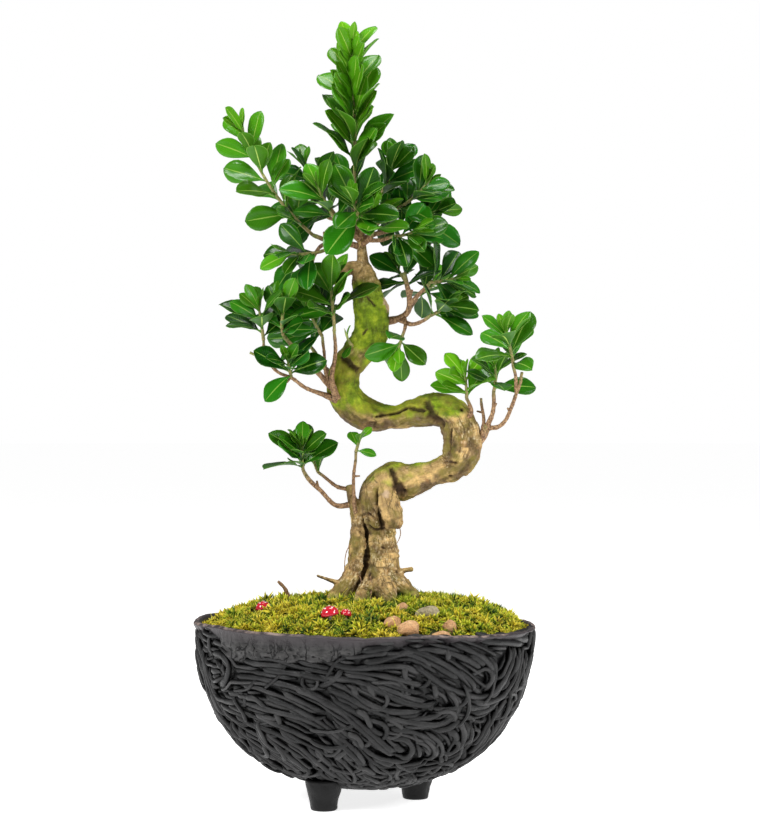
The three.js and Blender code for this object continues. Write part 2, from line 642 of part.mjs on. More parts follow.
// Where leaf number k of a shoot grows, which way it points and faces, and its size.
function leafAt(shoot, k, chance, attempt) {
  const t = FIRST_LEAF + (LAST_LEAF - FIRST_LEAF) * (shoot.leaves > 1 ? k / (shoot.leaves - 1) : 1);
  const { point, axis } = alongShoot(shoot, t);
  const { side, front } = acrossShoot(shoot, axis);
  const sway = LEAF_SWAY * (chance[0] - 0.5);
  const bearing = radians(shoot.bearing + GOLDEN_ANGLE * k + sway + LEAF_TURNS[attempt]);
  const widest = shoot.open ?? WIDEST_OPEN;
  const lift = LEAF_SWAY * (chance[1] - 0.5) + LEAF_LIFTS[attempt];
  const open = radians(widest + (TIP_OPEN - widest) * Math.pow(t, 1.4) + lift);
  const outward = front.multiplyScalar(Math.cos(bearing)).addScaledVector(side, Math.sin(bearing));
  const direction = axis.clone().multiplyScalar(Math.cos(open)).addScaledVector(outward, Math.sin(open));
  direction.normalize();
  const light = LOW_LIGHT.clone().lerp(HIGH_LIGHT, chance[4] * chance[4]);
  const facing = axis.clone().multiplyScalar(AXIS_PULL).add(light);
  facing.addScaledVector(direction, -facing.dot(direction)).normalize();
  const share = (1 - TIP_SHORTENING * Math.pow(t, 4)) * (SHORTEST + LENGTH_SPREAD * chance[2]);
  const length = shoot.length * share;
  point.addScaledVector(outward, LEAF_ROOT * stemRadius(t));
  return {
    point,
    direction,
    facing,
    across: direction.clone().cross(facing),
    length,
    halfWidth: length * (NARROWEST + (BROADEST - NARROWEST) * chance[3]),
    droop: LEAST_DROOP + (MOST_DROOP - LEAST_DROOP) * chance[4],
  };
}

// A leaf's middle line bends away from the side that it faces.
function alongLeaf(leaf, s) {
  return leaf.point
    .clone()
    .addScaledVector(leaf.direction, s * leaf.length)
    .addScaledVector(leaf.facing, -leaf.droop * s * s * leaf.length);
}

// A leaf as a thin arched solid. grow thickens and widens it; from leaves out what lies before that share.
function blade(leaf, grow = 0, from = 0) {
  const [root, first, ...rest] = BLADE_RINGS;
  const rings = [from > 0 ? [from, (first[1] * from) / first[0]] : root, first, ...rest];
  const segments = rings.length - 1;
  const geometry = new THREE.BoxGeometry(2, 1, 1, 1, segments, 1);
  reshape(geometry, (point) => {
    const [s, width] = rings[Math.round((point.y + 0.5) * segments)];
    const reach = point.x * (leaf.halfWidth * width + grow);
    const lift = point.z * (BLADE_THICKNESS + 2 * grow);
    point.copy(alongLeaf(leaf, s)).addScaledVector(leaf.across, reach).addScaledVector(leaf.facing, lift);
  });
  return solid(geometry);
}

const stemRadius = (t) => SHOOT_RADIUS + (TIP_RADIUS - SHOOT_RADIUS) * t;

// A shoot's stem: a three-sided taper whose section keeps its direction along the bend.
function shootStem(shoot, grow = 0) {
  const [start, , tip] = shoot.path.map(vector);
  const { side, front } = acrossShoot(shoot, tip.clone().sub(start).normalize());
  const steps = 1 + Math.ceil(start.distanceTo(tip) / STEM_STEP);
  const geometry = reshape(new THREE.CylinderGeometry(1, 1, 1, 3, steps), (point) => {
    const t = point.y + 0.5;
    const swell = stemRadius(t) + 2 * grow;
    const across = side.clone().multiplyScalar(point.x * swell).addScaledVector(front, point.z * swell);
    point.copy(alongShoot(shoot, t).point).add(across);
  });
  return solid(geometry);
}

const boxesMeet = (a, b) => [0, 1, 2].every((i) => a.min[i] < b.max[i] && b.min[i] < a.max[i]);
const solidsMeet = (a, b) => boxesMeet(a.box, b.box) && a.body.intersect(b.body).volume() > 1e-6;
const boxed = (body, shoot) => ({ body, shoot, box: body.boundingBox() });

// Every shoot's leaves. Each takes the first of its places that is clear of the wood and the other leaves.
function leafShoots(wood) {
  const stems = SHOOTS.map((shoot) => boxed(shootStem(shoot, BLADE_CLEARANCE), shoot.name));
  const taken = [...wood.map((body) => boxed(body, "wood")), ...stems];
  return SHOOTS.map((shoot, index) => {
    const draw = draws(4001 + 97 * index);
    const leaves = [];
    const outer = [];
    for (let k = 0; k < shoot.leaves; k++) {
      const chance = [draw(), draw(), draw(), draw(), draw()];
      for (let attempt = 0; attempt < LEAF_TURNS.length; attempt++) {
        const leaf = leafAt(shoot, k, chance, attempt);
        const whole = boxed(blade(leaf, BLADE_CLEARANCE), shoot.name);
        const reach = Math.max(-whole.box.min[0], whole.box.max[0], -whole.box.min[1], whole.box.max[1]);
        const free = boxed(blade(leaf, BLADE_CLEARANCE, INNER_SHARE), shoot.name);
        const meets = (other) => solidsMeet(other.shoot === "wood" ? free : whole, other);
        const blocked =
          reach > FOLIAGE_REACH ||
          taken.some((other) => other.shoot !== shoot.name && meets(other)) ||
          outer.some((other) => solidsMeet(free, other));
        if (blocked) continue;
        leaves.push(leaf);
        outer.push(free);
        break;
      }
    }
    leaves.forEach((leaf) => taken.push(boxed(blade(leaf), shoot.name)));
    return { shoot, leaves };
  });
}

const tree = new THREE.Group();

function add(name, body, look) {
  const mesh = new THREE.Mesh(surface(body), new THREE.MeshStandardMaterial(COLOURS[look]));
  mesh.name = name;
  tree.add(mesh);
}

const grownWood = woodLimbs(GAP);
const woodRoom = join(grownWood);
const stickRoom = limb(STICK, 6, 12, GAP);
const picks = TOADSTOOLS.map((toadstool) => toadstoolPick(toadstool, GAP));
const caps = TOADSTOOLS.map((toadstool) => toadstoolCap(toadstool, GAP));
const stones = STONES.map((rock) => stone(rock, GAP));

add("bowl", bowl(), "bowl");
const bedded = join([woodRoom, stickRoom, ...picks, ...stones]);
add("soil", soil(bedded), "soil");
add("moss", moss(join([bedded, ...caps])), "moss");
add("tree_wood", join(woodLimbs(0)), "wood");
add("fallen_twig", limb(STICK, 6, 12), "wood");

for (const rock of STONES) add(rock.name, stone(rock), "stone");
for (const toadstool of TOADSTOOLS) {
  add(toadstool.name + "_cap", toadstoolCap(toadstool), "cap");
  add(toadstool.name + "_pick", toadstoolPick(toadstool), "pick");
}

for (const { shoot, leaves } of leafShoots(grownWood)) {
  const body = join([shootStem(shoot), ...leaves.map((leaf) => blade(leaf))]);
  add(shoot.name, largest(body.subtract(woodRoom)), "leaf");
}

export default tree;
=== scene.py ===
"""The finished look of a ficus ginseng bonsai in its mossed bowl, made round the CAD frame.

Sizes in the tables are millimetres, as in the CAD source; meshes are in metres.
"""

import itertools
import json
import math

import bmesh
import bpy
import numpy as np
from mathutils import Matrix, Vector, kdtree, noise

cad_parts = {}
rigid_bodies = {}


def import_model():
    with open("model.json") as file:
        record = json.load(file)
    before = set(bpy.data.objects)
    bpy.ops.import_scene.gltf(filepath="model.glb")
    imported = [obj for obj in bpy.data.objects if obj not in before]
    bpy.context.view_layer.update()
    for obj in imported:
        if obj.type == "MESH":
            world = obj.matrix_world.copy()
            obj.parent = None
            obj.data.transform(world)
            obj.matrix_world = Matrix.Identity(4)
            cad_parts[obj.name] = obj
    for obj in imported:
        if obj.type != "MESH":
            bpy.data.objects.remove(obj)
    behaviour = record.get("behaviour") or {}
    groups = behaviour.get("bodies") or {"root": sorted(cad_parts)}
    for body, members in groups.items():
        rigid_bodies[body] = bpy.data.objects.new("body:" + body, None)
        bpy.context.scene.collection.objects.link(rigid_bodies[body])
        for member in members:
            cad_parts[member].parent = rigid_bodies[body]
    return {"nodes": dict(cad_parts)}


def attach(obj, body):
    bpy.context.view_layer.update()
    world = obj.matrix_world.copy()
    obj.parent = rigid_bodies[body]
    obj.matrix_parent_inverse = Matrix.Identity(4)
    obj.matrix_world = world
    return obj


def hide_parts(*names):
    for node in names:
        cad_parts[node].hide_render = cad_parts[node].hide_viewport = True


for leftover in list(bpy.data.objects):
    bpy.data.objects.remove(leftover)
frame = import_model()
bpy.context.view_layer.update()

bl_info = {
    "name": "Bonsai in a Strand Bowl",
    "version": (1, 0, 0),
    "blender": (4, 5, 0),
    "location": "View3D > Sidebar > Bonsai",
    "description": "Builds a ficus bonsai with its mossed bowl, piece by piece",
    "category": "Add Mesh",
}

MM = 0.001
BODY = "root"

# Sizes shared with the CAD source.

BOWL_RADIUS = 200.0
RIM_HEIGHT = 210.0
RIM_SLOPE = 3.5
BASE_HEIGHT = 17.0
BOWL_FULLNESS = 2.3
WALL = 11.0
LIP_WIDTH = 9.0
DRAIN_RADIUS = 9.0
FEET = ((-46.0, -66.0), (60.0, 18.0), (-48.0, 64.0))
FOOT_TOP_RADIUS = 19.0
FOOT_SOLE_RADIUS = 15.0
FOOT_HEIGHT = 42.0

SOIL_EDGE = 194.0
SOIL_CROWN = 33.0
MOSS_THICKNESS = 12.0
MOSS_LUMP = 2.2
MOUND_RADIUS = BOWL_RADIUS - WALL - 3
GAP = 0.35

FIRST_LEAF = 0.12
LAST_LEAF = 0.97
GOLDEN_ANGLE = 137.5
LEAF_ROOT = 0.2
SHOOT_RADIUS = 2.0
TIP_RADIUS = 1.4
NARROWEST = 0.25
BROADEST = 0.3
LEAST_DROOP = 0.05
MOST_DROOP = 0.26
TIP_OPEN = 24.0
LOW_LIGHT = np.array((0.0, -0.95, 0.4))
HIGH_LIGHT = np.array((0.0, -0.3, 0.95))
LEAF_TURNS = (0, 20, -20, 40, -40, 12, -12, 62, -62, 84, -84, 110)
LEAF_LIFTS = (0, 0, 0, -8, -8, 14, 14, 0, 0, -12, -12, 10)
LEAF_SWAY = 16.0
TIP_SHORTENING = 0.38
LEAST_LENGTH = 0.88
LENGTH_SPREAD = 0.24

# Wood. Each limb is a run of (x, y, z, radius).
TRUNK = (
    (8, 0, 150, 16), (10, 0, 212, 27), (18, -2, 250, 25), (21, -3, 281, 19), (19, -3, 312, 16),
    (14, -3, 337, 20), (17, -4, 358, 23.5), (32, -8, 373, 22.5), (50, -11, 374, 20.5), (67, -13, 379, 16.5),
    (86, -15, 386, 14.5), (103, -16, 393, 18), (114, -17, 411, 21.5), (112, -16, 434, 21.5),
    (100, -12, 453, 20), (84, -7, 457, 20), (68, -3, 455, 18), (52, 1, 453, 15), (34, 5, 449, 13.5),
    (10, 9, 450, 18), (-12, 8, 461, 19.5), (-25, 6, 482, 19), (-21, 4, 506, 18), (-6, 1, 525, 18),
    (7, -2, 545, 19), (9, -4, 568, 19.5), (4, -3, 590, 17.5), (-1, -1, 608, 15), (-2, -1, 618, 12.5),
    (-2, 0, 627, 8), (-3, 0, 640, 6.2), (-4, 1, 655, 5.2), (-7, 2, 680, 4.3), (-9, 2, 700, 3.4),
    (-12, 1, 716, 2.6),
)
SIDE_STEM = (
    (-42, -12, 214, 10), (-26, -9, 240, 15), (-13, -7, 260, 14), (-6, -6, 281, 11.5), (-5, -6, 301, 11),
    (-6, -6, 322, 10), (-10, -6, 340, 8), (-15, -6, 355, 5.8), (-18, -6, 370, 4.6),
)
ROOTS = (
    ((22, -4, 268, 15), (41, -10, 250, 14), (60, -15, 236, 8)),
    ((18, -12, 262, 13), (26, -34, 246, 10), (31, -52, 235, 6)),
    ((8, -10, 260, 12), (-2, -30, 244, 8), (-10, -46, 235, 5)),
    ((20, 8, 262, 14), (36, 30, 246, 10), (50, 48, 235, 6)),
    ((4, 8, 258, 13), (-12, 32, 244, 9), (-26, 50, 235, 5)),
)
STUBS = (
    ((22, -12, 376, 9), (26, -25, 364, 10.5), (30, -29, 348, 11), (34, -29, 334, 10.5), (34, -27, 321, 7)),
    ((28, -5, 265, 5.5), (46, -9, 270, 3.2), (57, -10, 272, 3.4)),
    ((-26, -10, 254, 4), (-45, -15, 261, 2.3), (-56, -18, 265, 1.9)),
    ((-3, -3, 621, 9), (-16, -8, 623, 7.5), (-28, -9, 614, 7), (-34, -9, 603, 5.5)),
)
TWIGS = (
    # from the side stem
    ((-14, -6, 347, 3.8), (-35, -12, 347, 2.8), (-51, -17, 364, 2.5), (-66, -21, 378, 2.5),
     (-71, -22, 387, 2.1)),
    ((-16, -5, 364, 2.9), (-30, -3, 367, 2.3), (-42, 2, 375, 2), (-54, 6, 384, 1.8)),
    ((-9, -11, 334, 3.2), (-12, -14, 352, 2.2), (-13, -15, 370, 2), (-11, -16, 392, 1.8),
     (-10, -17, 408, 1.7)),
    # from the middle bend, to the left
    ((-28, -1, 476, 6), (-43, -8, 489, 4), (-65, -16, 512, 3), (-82, -22, 529, 2.5), (-94, -26, 544, 2.1)),
    ((-30, -2, 468, 5), (-55, -6, 478, 2.8), (-72, -12, 485, 2.2), (-84, -18, 494, 2), (-101, -20, 502, 1.9),
     (-118, -22, 517, 1.7), (-133, -23, 524, 1.5)),
    ((-115, -22, 514, 1.7), (-117, -23, 526, 1.7), (-117, -24, 538, 1.6)),
    ((-32, -9, 470, 5), (-38, -16, 490, 3.3), (-35, -21, 512, 2.4), (-34, -24, 535, 2.1),
     (-35, -26, 556, 1.8)),
    ((-40, -8, 486, 3), (-46, -13, 505, 2), (-47, -15, 527, 1.8), (-49, -16, 543, 1.7)),
    ((-26, 8, 488, 5), (-48, 25, 508, 3), (-62, 41, 530, 2.2)),
    # from the upper trunk, to the right
    ((20, -3, 561, 6), (38, -6, 563, 4.2), (50, -9, 571, 3.5), (52, -11, 588, 3.1), (49, -12, 607, 2.8),
     (46, -12, 618, 2.5)),
    ((52, -10, 580, 2.8), (66, -15, 594, 2.3), (77, -18, 606, 2)),
    ((40, -6, 563, 3.2), (55, -14, 557, 2.5), (67, -19, 561, 2.1), (77, -22, 567, 1.9)),
    ((45, -7, 567, 3), (56, 10, 580, 2.5), (62, 30, 592, 2)),
    ((46, -8, 566, 2.6), (48, -18, 554, 2), (44, -22, 543, 1.8)),
    # from the right bend
    ((122, -17, 408, 8), (136, -24, 425, 5.4), (143, -30, 440, 4.4)),
    ((142, -29, 437, 3.4), (147, -38, 450, 2.7), (149, -44, 466, 2.4), (149, -48, 479, 2.1)),
    ((142, -29, 436, 3.2), (154, -40, 438, 2.5), (163, -50, 447, 2.3), (170, -58, 462, 2.2),
     (174, -66, 478, 2.1),
     (178, -70, 488, 1.9), (180, -74, 500, 1.6)),
    ((174, -66, 477, 2.1), (173, -72, 492, 2), (170, -78, 506, 1.8)),
    ((136, -24, 425, 2.8), (138, -30, 444, 2.1), (136, -31, 460, 1.8), (135, -32, 471, 1.5)),
    ((116, -22, 442, 4), (124, -34, 455, 2.6), (121, -38, 464, 2.3), (118, -40, 471, 2)),
    # boughs of the crown
    ((-4, 1, 648, 4.2), (-22, -4, 652, 3.3), (-42, -10, 654, 2.8), (-60, -14, 661, 2.3)),
    ((-6, 1, 664, 3.8), (-20, 8, 676, 2.9), (-35, 14, 688, 2.2)),
    ((-5, 0, 656, 3.6), (-18, -18, 664, 2.7), (-30, -34, 672, 2.1)),
    ((-24, -5, 652, 2.8), (-38, -22, 646, 2.3), (-52, -34, 640, 2)),
    ((-42, -10, 654, 2.5), (-54, 4, 646, 2.1), (-60, 13, 637, 1.9)),
    ((-6, 1, 670, 3.4), (-8, -20, 676, 2.6), (-6, -37, 680, 2.1)),
    ((-4, 1, 650, 3.6), (6, -15, 656, 2.7), (10, -27, 664, 2.1)),
    ((-8, 2, 684, 3.4), (5, 6, 694, 2.7), (17, 8, 706, 2.1)),
    ((-6, 1, 667, 3.8), (14, -4, 680, 3), (34, -10, 690, 2.3)),
    ((-5, 1, 657, 3.6), (16, 2, 664, 2.9), (38, 2, 670, 2.2)),
    ((5, -14, 655, 2.7), (22, -28, 655, 2.2), (34, -38, 658, 1.9)),
    ((-8, 2, 686, 3.2), (-12, 24, 695, 2.5), (-16, 42, 704, 2.1)),
    ((-6, 2, 663, 3.4), (10, 26, 674, 2.7), (20, 47, 684, 2.1)),
    ((-19, 8, 675, 2.8), (-34, 32, 682, 2.3), (-46, 50, 688, 2)),
)

# Leafy shoots: name, start, bend, tip, then the leaves' number, length, first bearing, opening and youth.
SHOOTS = (
    ("shoot_spire", (-12, 1, 716), (-10, 0, 800), (-15, -3, 884), 21, 60, 20, 46, 0.62),
    ("shoot_crown_left_long", (-60, -14, 661), (-114, -22, 706), (-141, -30, 781), 14, 57, 0, 60, 0.4),
    ("shoot_crown_left_back", (-35, 14, 688), (-56, 18, 714), (-72, 22, 746), 7, 53, 40, 70, 0.12),
    ("shoot_crown_left_front", (-30, -34, 672), (-42, -42, 690), (-52, -46, 710), 7, 59, 70, 70, 0.2),
    ("shoot_crown_low_left", (-52, -34, 640), (-70, -42, 636), (-86, -48, 637), 7, 53, 90, 70, 0.1),
    ("shoot_crown_low_left_back", (-60, 13, 637), (-64, 18, 624), (-65, 22, 611), 7, 50, 30, 70, 0.1),
    ("shoot_crown_front", (-6, -37, 680), (-8, -48, 684), (-12, -56, 694), 7, 59, 120, 70, 0.15),
    ("shoot_crown_young", (10, -27, 664), (11, -33, 676), (9, -37, 692), 7, 53, 60, 70, 0.75),
    ("shoot_crown_right_high", (17, 8, 706), (27, 9, 724), (33, 10, 746), 8, 53, 10, 70, 0.1),
    ("shoot_crown_right", (34, -10, 690), (56, -14, 700), (72, -18, 720), 8, 53, 50, 70, 0.1),
    ("shoot_crown_right_low", (38, 2, 670), (62, 0, 676), (84, -4, 690), 8, 53, 0, 70, 0.05),
    ("shoot_crown_front_right", (34, -38, 658), (45, -45, 657), (56, -50, 662), 6, 53, 80, 70, 0.1),
    ("shoot_crown_back_high", (-16, 42, 704), (-20, 58, 712), (-24, 74, 728), 7, 56, 15, 70, 0.1),
    ("shoot_crown_back_right", (20, 47, 684), (30, 66, 690), (38, 84, 702), 7, 56, 35, 70, 0.15),
    ("shoot_crown_back_left", (-46, 50, 688), (-62, 62, 692), (-78, 72, 704), 7, 56, 55, 70, 0.1),
    ("shoot_left_upright", (-35, -26, 556), (-37, -29, 580), (-39, -31, 602), 8, 57, 200, 70, 0.35),
    ("shoot_left_outer", (-117, -24, 538), (-119, -27, 556), (-122, -28, 574), 8, 53, 90, 70, 0.15),
    ("shoot_left_middle", (-94, -26, 544), (-98, -31, 558), (-92, -35, 576), 8, 56, 40, 70, 0.15),
    ("shoot_left_low", (-85, -20, 496), (-87, -28, 503), (-88, -36, 512), 7, 48, 160, 70, 0.0),
    ("shoot_left_inner", (-49, -16, 543), (-57, -16, 556), (-64, -18, 570), 7, 50, 130, 70, 0.1),
    ("shoot_left_back", (-62, 41, 530), (-72, 50, 540), (-84, 58, 554), 8, 53, 20, 70, 0.1),
    ("shoot_right_upper", (51, -8, 600), (46, 2, 612), (38, 8, 624), 7, 50, 110, 70, 0.05),
    ("shoot_right_outer", (77, -18, 606), (91, -21, 606), (104, -23, 610), 8, 50, 45, 70, 0.1),
    ("shoot_right_drooping", (77, -22, 567), (88, -25, 572), (97, -27, 580), 8, 48, 60, 70, 0.1),
    ("shoot_right_hanging", (44, -22, 543), (42, -26, 536), (40, -30, 528), 6, 48, 25, 70, 0.3),
    ("shoot_right_back", (62, 30, 592), (72, 42, 598), (84, 52, 608), 8, 53, 85, 70, 0.1),
    ("shoot_bend_near", (118, -40, 471), (118, -46, 482), (116, -50, 496), 7, 48, 150, 70, 0.9),
    ("shoot_bend_outer", (170, -78, 506), (168, -84, 522), (161, -88, 544), 9, 50, 30, 70, 0.3),
    ("shoot_bend_middle", (149, -48, 479), (152, -52, 492), (150, -56, 506), 8, 48, 100, 70, 0.2),
    ("shoot_low_left", (-71, -22, 387), (-73, -24, 398), (-72, -27, 412), 10, 53, 170, 70, 0.2),
    ("shoot_low_left_small", (-54, 6, 384), (-57, 8, 389), (-59, 9, 395), 3, 28, 10, 70, 0.2),
    ("shoot_low_thin", (-10, -17, 408), (-8, -19, 416), (-5, -21, 424), 4, 26, 75, 70, 0.5),
    ("shoot_trunk_sprout", (-14, -14, 532), (-18, -20, 536), (-20, -24, 542), 2, 22, 190, 70, 0.6),
)

# How many more leaves a shoot has between those of the table, as a share of their number.
USUAL_FILLING = 0.35
FILLING = {
    "shoot_spire": 0.9,
    "shoot_crown_left_long": 0.4,
    "shoot_crown_front": 0.7,
    "shoot_crown_young": 0.6,
    "shoot_crown_right_high": 0.6,
    "shoot_crown_right": 0.7,
    "shoot_crown_right_low": 0.7,
    "shoot_crown_front_right": 0.7,
    "shoot_low_left_small": 0.0,
    "shoot_low_thin": 0.0,
    "shoot_trunk_sprout": 0.0,
}

# Stones on the moss: name, place, half sizes, turn about Z in degrees, depth sunk, warmth of the colour.
STONES = (
    ("stone_front", (50, -162), (12.8, 10.5, 10), 8, 11, 1.0),
    ("stone_front_left", (31, -145), (10.5, 10, 10.5), 60, 14, 0.9),
    ("stone_long", (72, -118), (13.5, 9, 8.5), -22, 6, 0.15),
    ("stone_right", (95, -133), (8.5, 8.5, 9), 15, 10, 0.7),
    ("stone_edge", (85, -154), (14.5, 8.5, 8.5), -6, 14, 0.9),
    ("stone_root", (43, -95), (6.5, 6.5, 6), 40, 5, 0.6),
)

# Toadstool ornaments: name, place, cap radius and lean to the right in degrees.
TOADSTOOLS = (
    ("toadstool_left", (-116, -49), 9.0, -4),
    ("toadstool_middle", (-37.5, -138), 10.3, -12),
    ("toadstool_small", (-20, -131), 6.5, 10),
)
# Round a toadstool: the bare ground as a share of its cap, and how much lower the moss before it grows.
MOSS_CLEARING = {"toadstool_left": (0.7, 0.85), "toadstool_middle": (0.4, 0.1), "toadstool_small": (0.4, 0.1)}
CAP_RISE = 0.95
CAP_LIFT = 2.0
PICK_RADIUS = 1.9
PICK_LENGTH = 34.0
UNDER_CAP = 1.2

# Where the bark changes: the heights between which each form starts and ends.
NECK = (270, 292, 310, 326)
SHOULDER = (350, 380, 400, 440)
RIGHT_BEND = (350, 375, 440, 460)
MIDDLE_BEND = (440, 462, 515, 530)
UPPER_TRUNK = (520, 538, 596, 612)

# Bare ground round the trunk and the side stem: place and radius.
BARE_GROUND = ((10, 0, 30), (-40, -12, 12))

# Thin roots that hang beside the trunk.
HAIR_ROOTS = (
    ((-14, -10, 304, 0.7), (-21, -13, 292, 0.6), (-23, -14, 268, 0.6), (-19, -15, 250, 0.6),
     (-21, -17, 232, 0.5)),
    ((-14, -12, 296, 0.5), (-18, -16, 280, 0.5), (-15, -17, 262, 0.5), (-17, -18, 240, 0.5)),
    ((40, -27, 324, 0.6), (42, -26, 314, 0.6), (38, -21, 303, 0.5), (31, -16, 296, 0.5)),
    ((7, -23, 264, 1.0), (8, -29, 251, 1.0), (7, -36, 236, 0.8)),
    ((19, -24, 266, 1.1), (20, -32, 252, 1.1), (17, -42, 234, 0.9)),
    ((-8, -16, 270, 0.8), (-3, -22, 255, 0.8), (-9, -28, 238, 0.7)),
)

STICK = ((-84, 4, 226, 2.2), (-93, 0, 248, 2.2), (-101, -4, 257, 1.8))

# How deep the sprigs stand in the moss, and how far out the stalks grow.
MOSS_SINK = 2.8
STALK_REACH = 180

# Strands of the bowl's front as they are seen from the camera, in picture points right and down.
# The other strands run alongside them; the back has the same ones mirrored.
GUIDES = (
    ((231, 677), (258, 680), (291, 687), (314, 695), (332, 706), (355, 722), (376, 739), (399, 759)),
    ((295, 673), (323, 680), (346, 691), (369, 706), (392, 713), (424, 714)),
    ((258, 669), (304, 676), (355, 682), (382, 693), (405, 704), (428, 708), (440, 704)),
    ((323, 687), (346, 697), (369, 712), (399, 723), (438, 727), (454, 719), (458, 707), (449, 695)),
    ((360, 664), (382, 661), (403, 654), (428, 650), (451, 653), (472, 662), (488, 673)),
    ((401, 648), (424, 654), (444, 664), (461, 675), (477, 691), (486, 697)),
    ((451, 643), (470, 650), (486, 659), (495, 671), (494, 684), (486, 697)),
    ((516, 645), (513, 664), (504, 682), (493, 697), (481, 700), (465, 696), (444, 687), (428, 675),
     (412, 664)),
    ((523, 654), (518, 680), (504, 698), (486, 705), (470, 703)),
    ((380, 722), (415, 722), (435, 719), (444, 712), (440, 700)),
    ((472, 716), (490, 712), (506, 698)),
    ((467, 723), (470, 739), (461, 753), (442, 762)),
    ((387, 730), (410, 733), (431, 742), (440, 753), (435, 765)),
    ((387, 742), (405, 739), (415, 751), (408, 762), (389, 758)),
    ((219, 696), (245, 705), (272, 712), (300, 719), (327, 735), (350, 755), (369, 772)),
    ((231, 716), (254, 730), (277, 749), (300, 767), (316, 781)),
    ((261, 696), (288, 706), (314, 721), (341, 742), (359, 762)),
    ((242, 721), (272, 735), (300, 751), (327, 772), (341, 785)),
    ((199, 661), (206, 691), (219, 716), (240, 744), (263, 765), (286, 778)),
    ((206, 654), (219, 654), (229, 666), (226, 682), (215, 689)),
    ((210, 661), (219, 666), (219, 675)),
    ((332, 785), (359, 790), (392, 788), (417, 781)),
    ((532, 654), (525, 689), (509, 723), (488, 751), (463, 772), (440, 781)),
    ((502, 707), (490, 726), (481, 744), (465, 762)),
    ((392, 772), (415, 769), (435, 765)),
    ((479, 641), (506, 643), (529, 645)),
)
# Loose strands that lie over the others.
LOOSE = (
    ((354, 716), (358, 711), (365, 713), (369, 724), (374, 736)),
    ((343, 737), (353, 735), (361, 742), (363, 759)),
    ((334, 767), (338, 757), (349, 753), (346, 745)),
    ((405, 661), (405, 675), (408, 691)),
    ((449, 645), (447, 657), (450, 666)),
    ((366, 681), (372, 693), (378, 704)),
    ((351, 684), (356, 696), (359, 703)),
    ((434, 682), (436, 696), (437, 704)),
    ((272, 710), (279, 721), (280, 736)),
    ((350, 769), (362, 768), (373, 774), (377, 785)),
    ((491, 666), (493, 680), (483, 693)),
    ((447, 691), (457, 700), (458, 716), (447, 728)),
    ((291, 687), (314, 697), (338, 712), (360, 731), (381, 750), (399, 762)),
    ((240, 700), (252, 697), (262, 704), (268, 716)),
)
# How far the wall stands in behind the smeared band, and how much further behind the strands.
SMEAR_INSET = 1.2
STRAND_ROOM = 7.4
# Half width, height and lift of the strands on the guides and of the loose ones.
GUIDE_STRAND = (3.9, 3.2, 1.0)
LOOSE_STRAND = (3.6, 3.0, 2.8)
# Room that a strand needs: on a guide, beside another one, and in a gap that is left.
GUIDE_ROOM = 4.4
BESIDE_ROOM = 5.7
LEFT_ROOM = 4.6
# How often a gap is looked for, and how often a strand is tried over the others.
GAP_TRIES = 5000
CROSSING_TRIES = 430
# The fewest places of a strand, how deep it lies in the bowl's full size, and how deep its ends sink.
FEWEST_PLACES = 7
STRAND_DEPTH = 5.6
END_DEPTH = 3.0
# Length of wall at the base, and the least radius, that the strands keep to.
BARE_BASE = 40.0
LEAST_RADIUS = 40.0
PICTURE_MIDDLE = (380.0, 418.0)
PICTURE_POINT = 1.17
CAMERA_PLACE = (18.1, -2800.0, 448.0)

# Wire marks and cuts in the bark, and folds and crevices painted dark as shade: two ends, half width and
# depth.
SCARS_AND_FOLDS = (
    ((69, -22, 471), (76, -27, 457), 5.2, 4.0),
    ((76, -27, 457), (89, -28, 434), 7.4, 5.0),
    ((30, -22, 392), (36, -31, 374), 4.2, 4.5),
    ((36, -31, 374), (48, -28, 356), 7.6, 6.0),
    ((48, -28, 356), (54, -22, 334), 7.0, 4.0),
    ((-26, -10, 519), (-14, -15, 509), 4.6, 4.0),
    ((-14, -15, 509), (-3, -13, 500), 4.2, 4.0),
    ((17, -27, 366), (18, -27, 345), 3.4, 5.0),
    ((18, -27, 345), (22, -21, 320), 3.8, 5.5),
    ((-2, -19, 324), (12, -21, 318), 2.4, 3.5),
    ((12, -21, 318), (26, -18, 320), 2.2, 3.0),
    ((1, -12, 334), (3, -11, 300), 3.8, 7.0),
    ((3, -11, 300), (1, -12, 275), 4.4, 7.0),
    ((1, -12, 275), (-8, -23, 242), 4.8, 6.0),
    ((14, -9, 449), (52, -13, 460), 2.9, 5.0),
    ((52, -13, 460), (72, -21, 456), 3.2, 5.0),
    ((-4, -19, 332), (8, -24, 326), 1.5, 2.4),
    ((4, -22, 338), (14, -25, 330), 1.4, 2.2),
    ((-6, -17, 316), (4, -21, 310), 1.5, 2.4),
    ((10, -23, 344), (15, -26, 334), 1.3, 2.0),
    ((24, -26, 338), (34, -30, 334), 1.4, 2.2),
    ((30, -27, 322), (42, -27, 326), 1.5, 2.4),
    ((28, -25, 312), (40, -24, 314), 1.4, 2.4),
    ((-20, -12, 585), (-16, -14, 581), 5.0, 4.5),
    ((102, -34, 436), (96, -33, 404), 1.5, 2.4),
    ((88, -29, 400), (107, -35, 396), 1.6, 2.2),
    ((112, -30, 459), (114, -30, 456), 2.4, 2.4),
    ((98, -31, 381), (101, -31, 379), 2.4, 2.0),
    ((20, -19, 298), (24, -18, 296), 2.0, 2.0),
    ((6, -20, 268), (2, -24, 240), 1.7, 2.4),
    ((31, -24, 262), (36, -30, 244), 1.5, 2.2),
    ((14, -20, 262), (16, -30, 243), 1.3, 2.0),
    ((-2, -18, 545), (4, -20, 552), 1.6, 1.6),
    ((12, -20, 578), (2, -20, 590), 1.4, 1.4),
)
# Pale grazes on the bark: place and size.
GRAZES = (((25, -12, 580), 11), ((25, -38, 360), 6), ((40, -36, 248), 8))


# Small helpers.


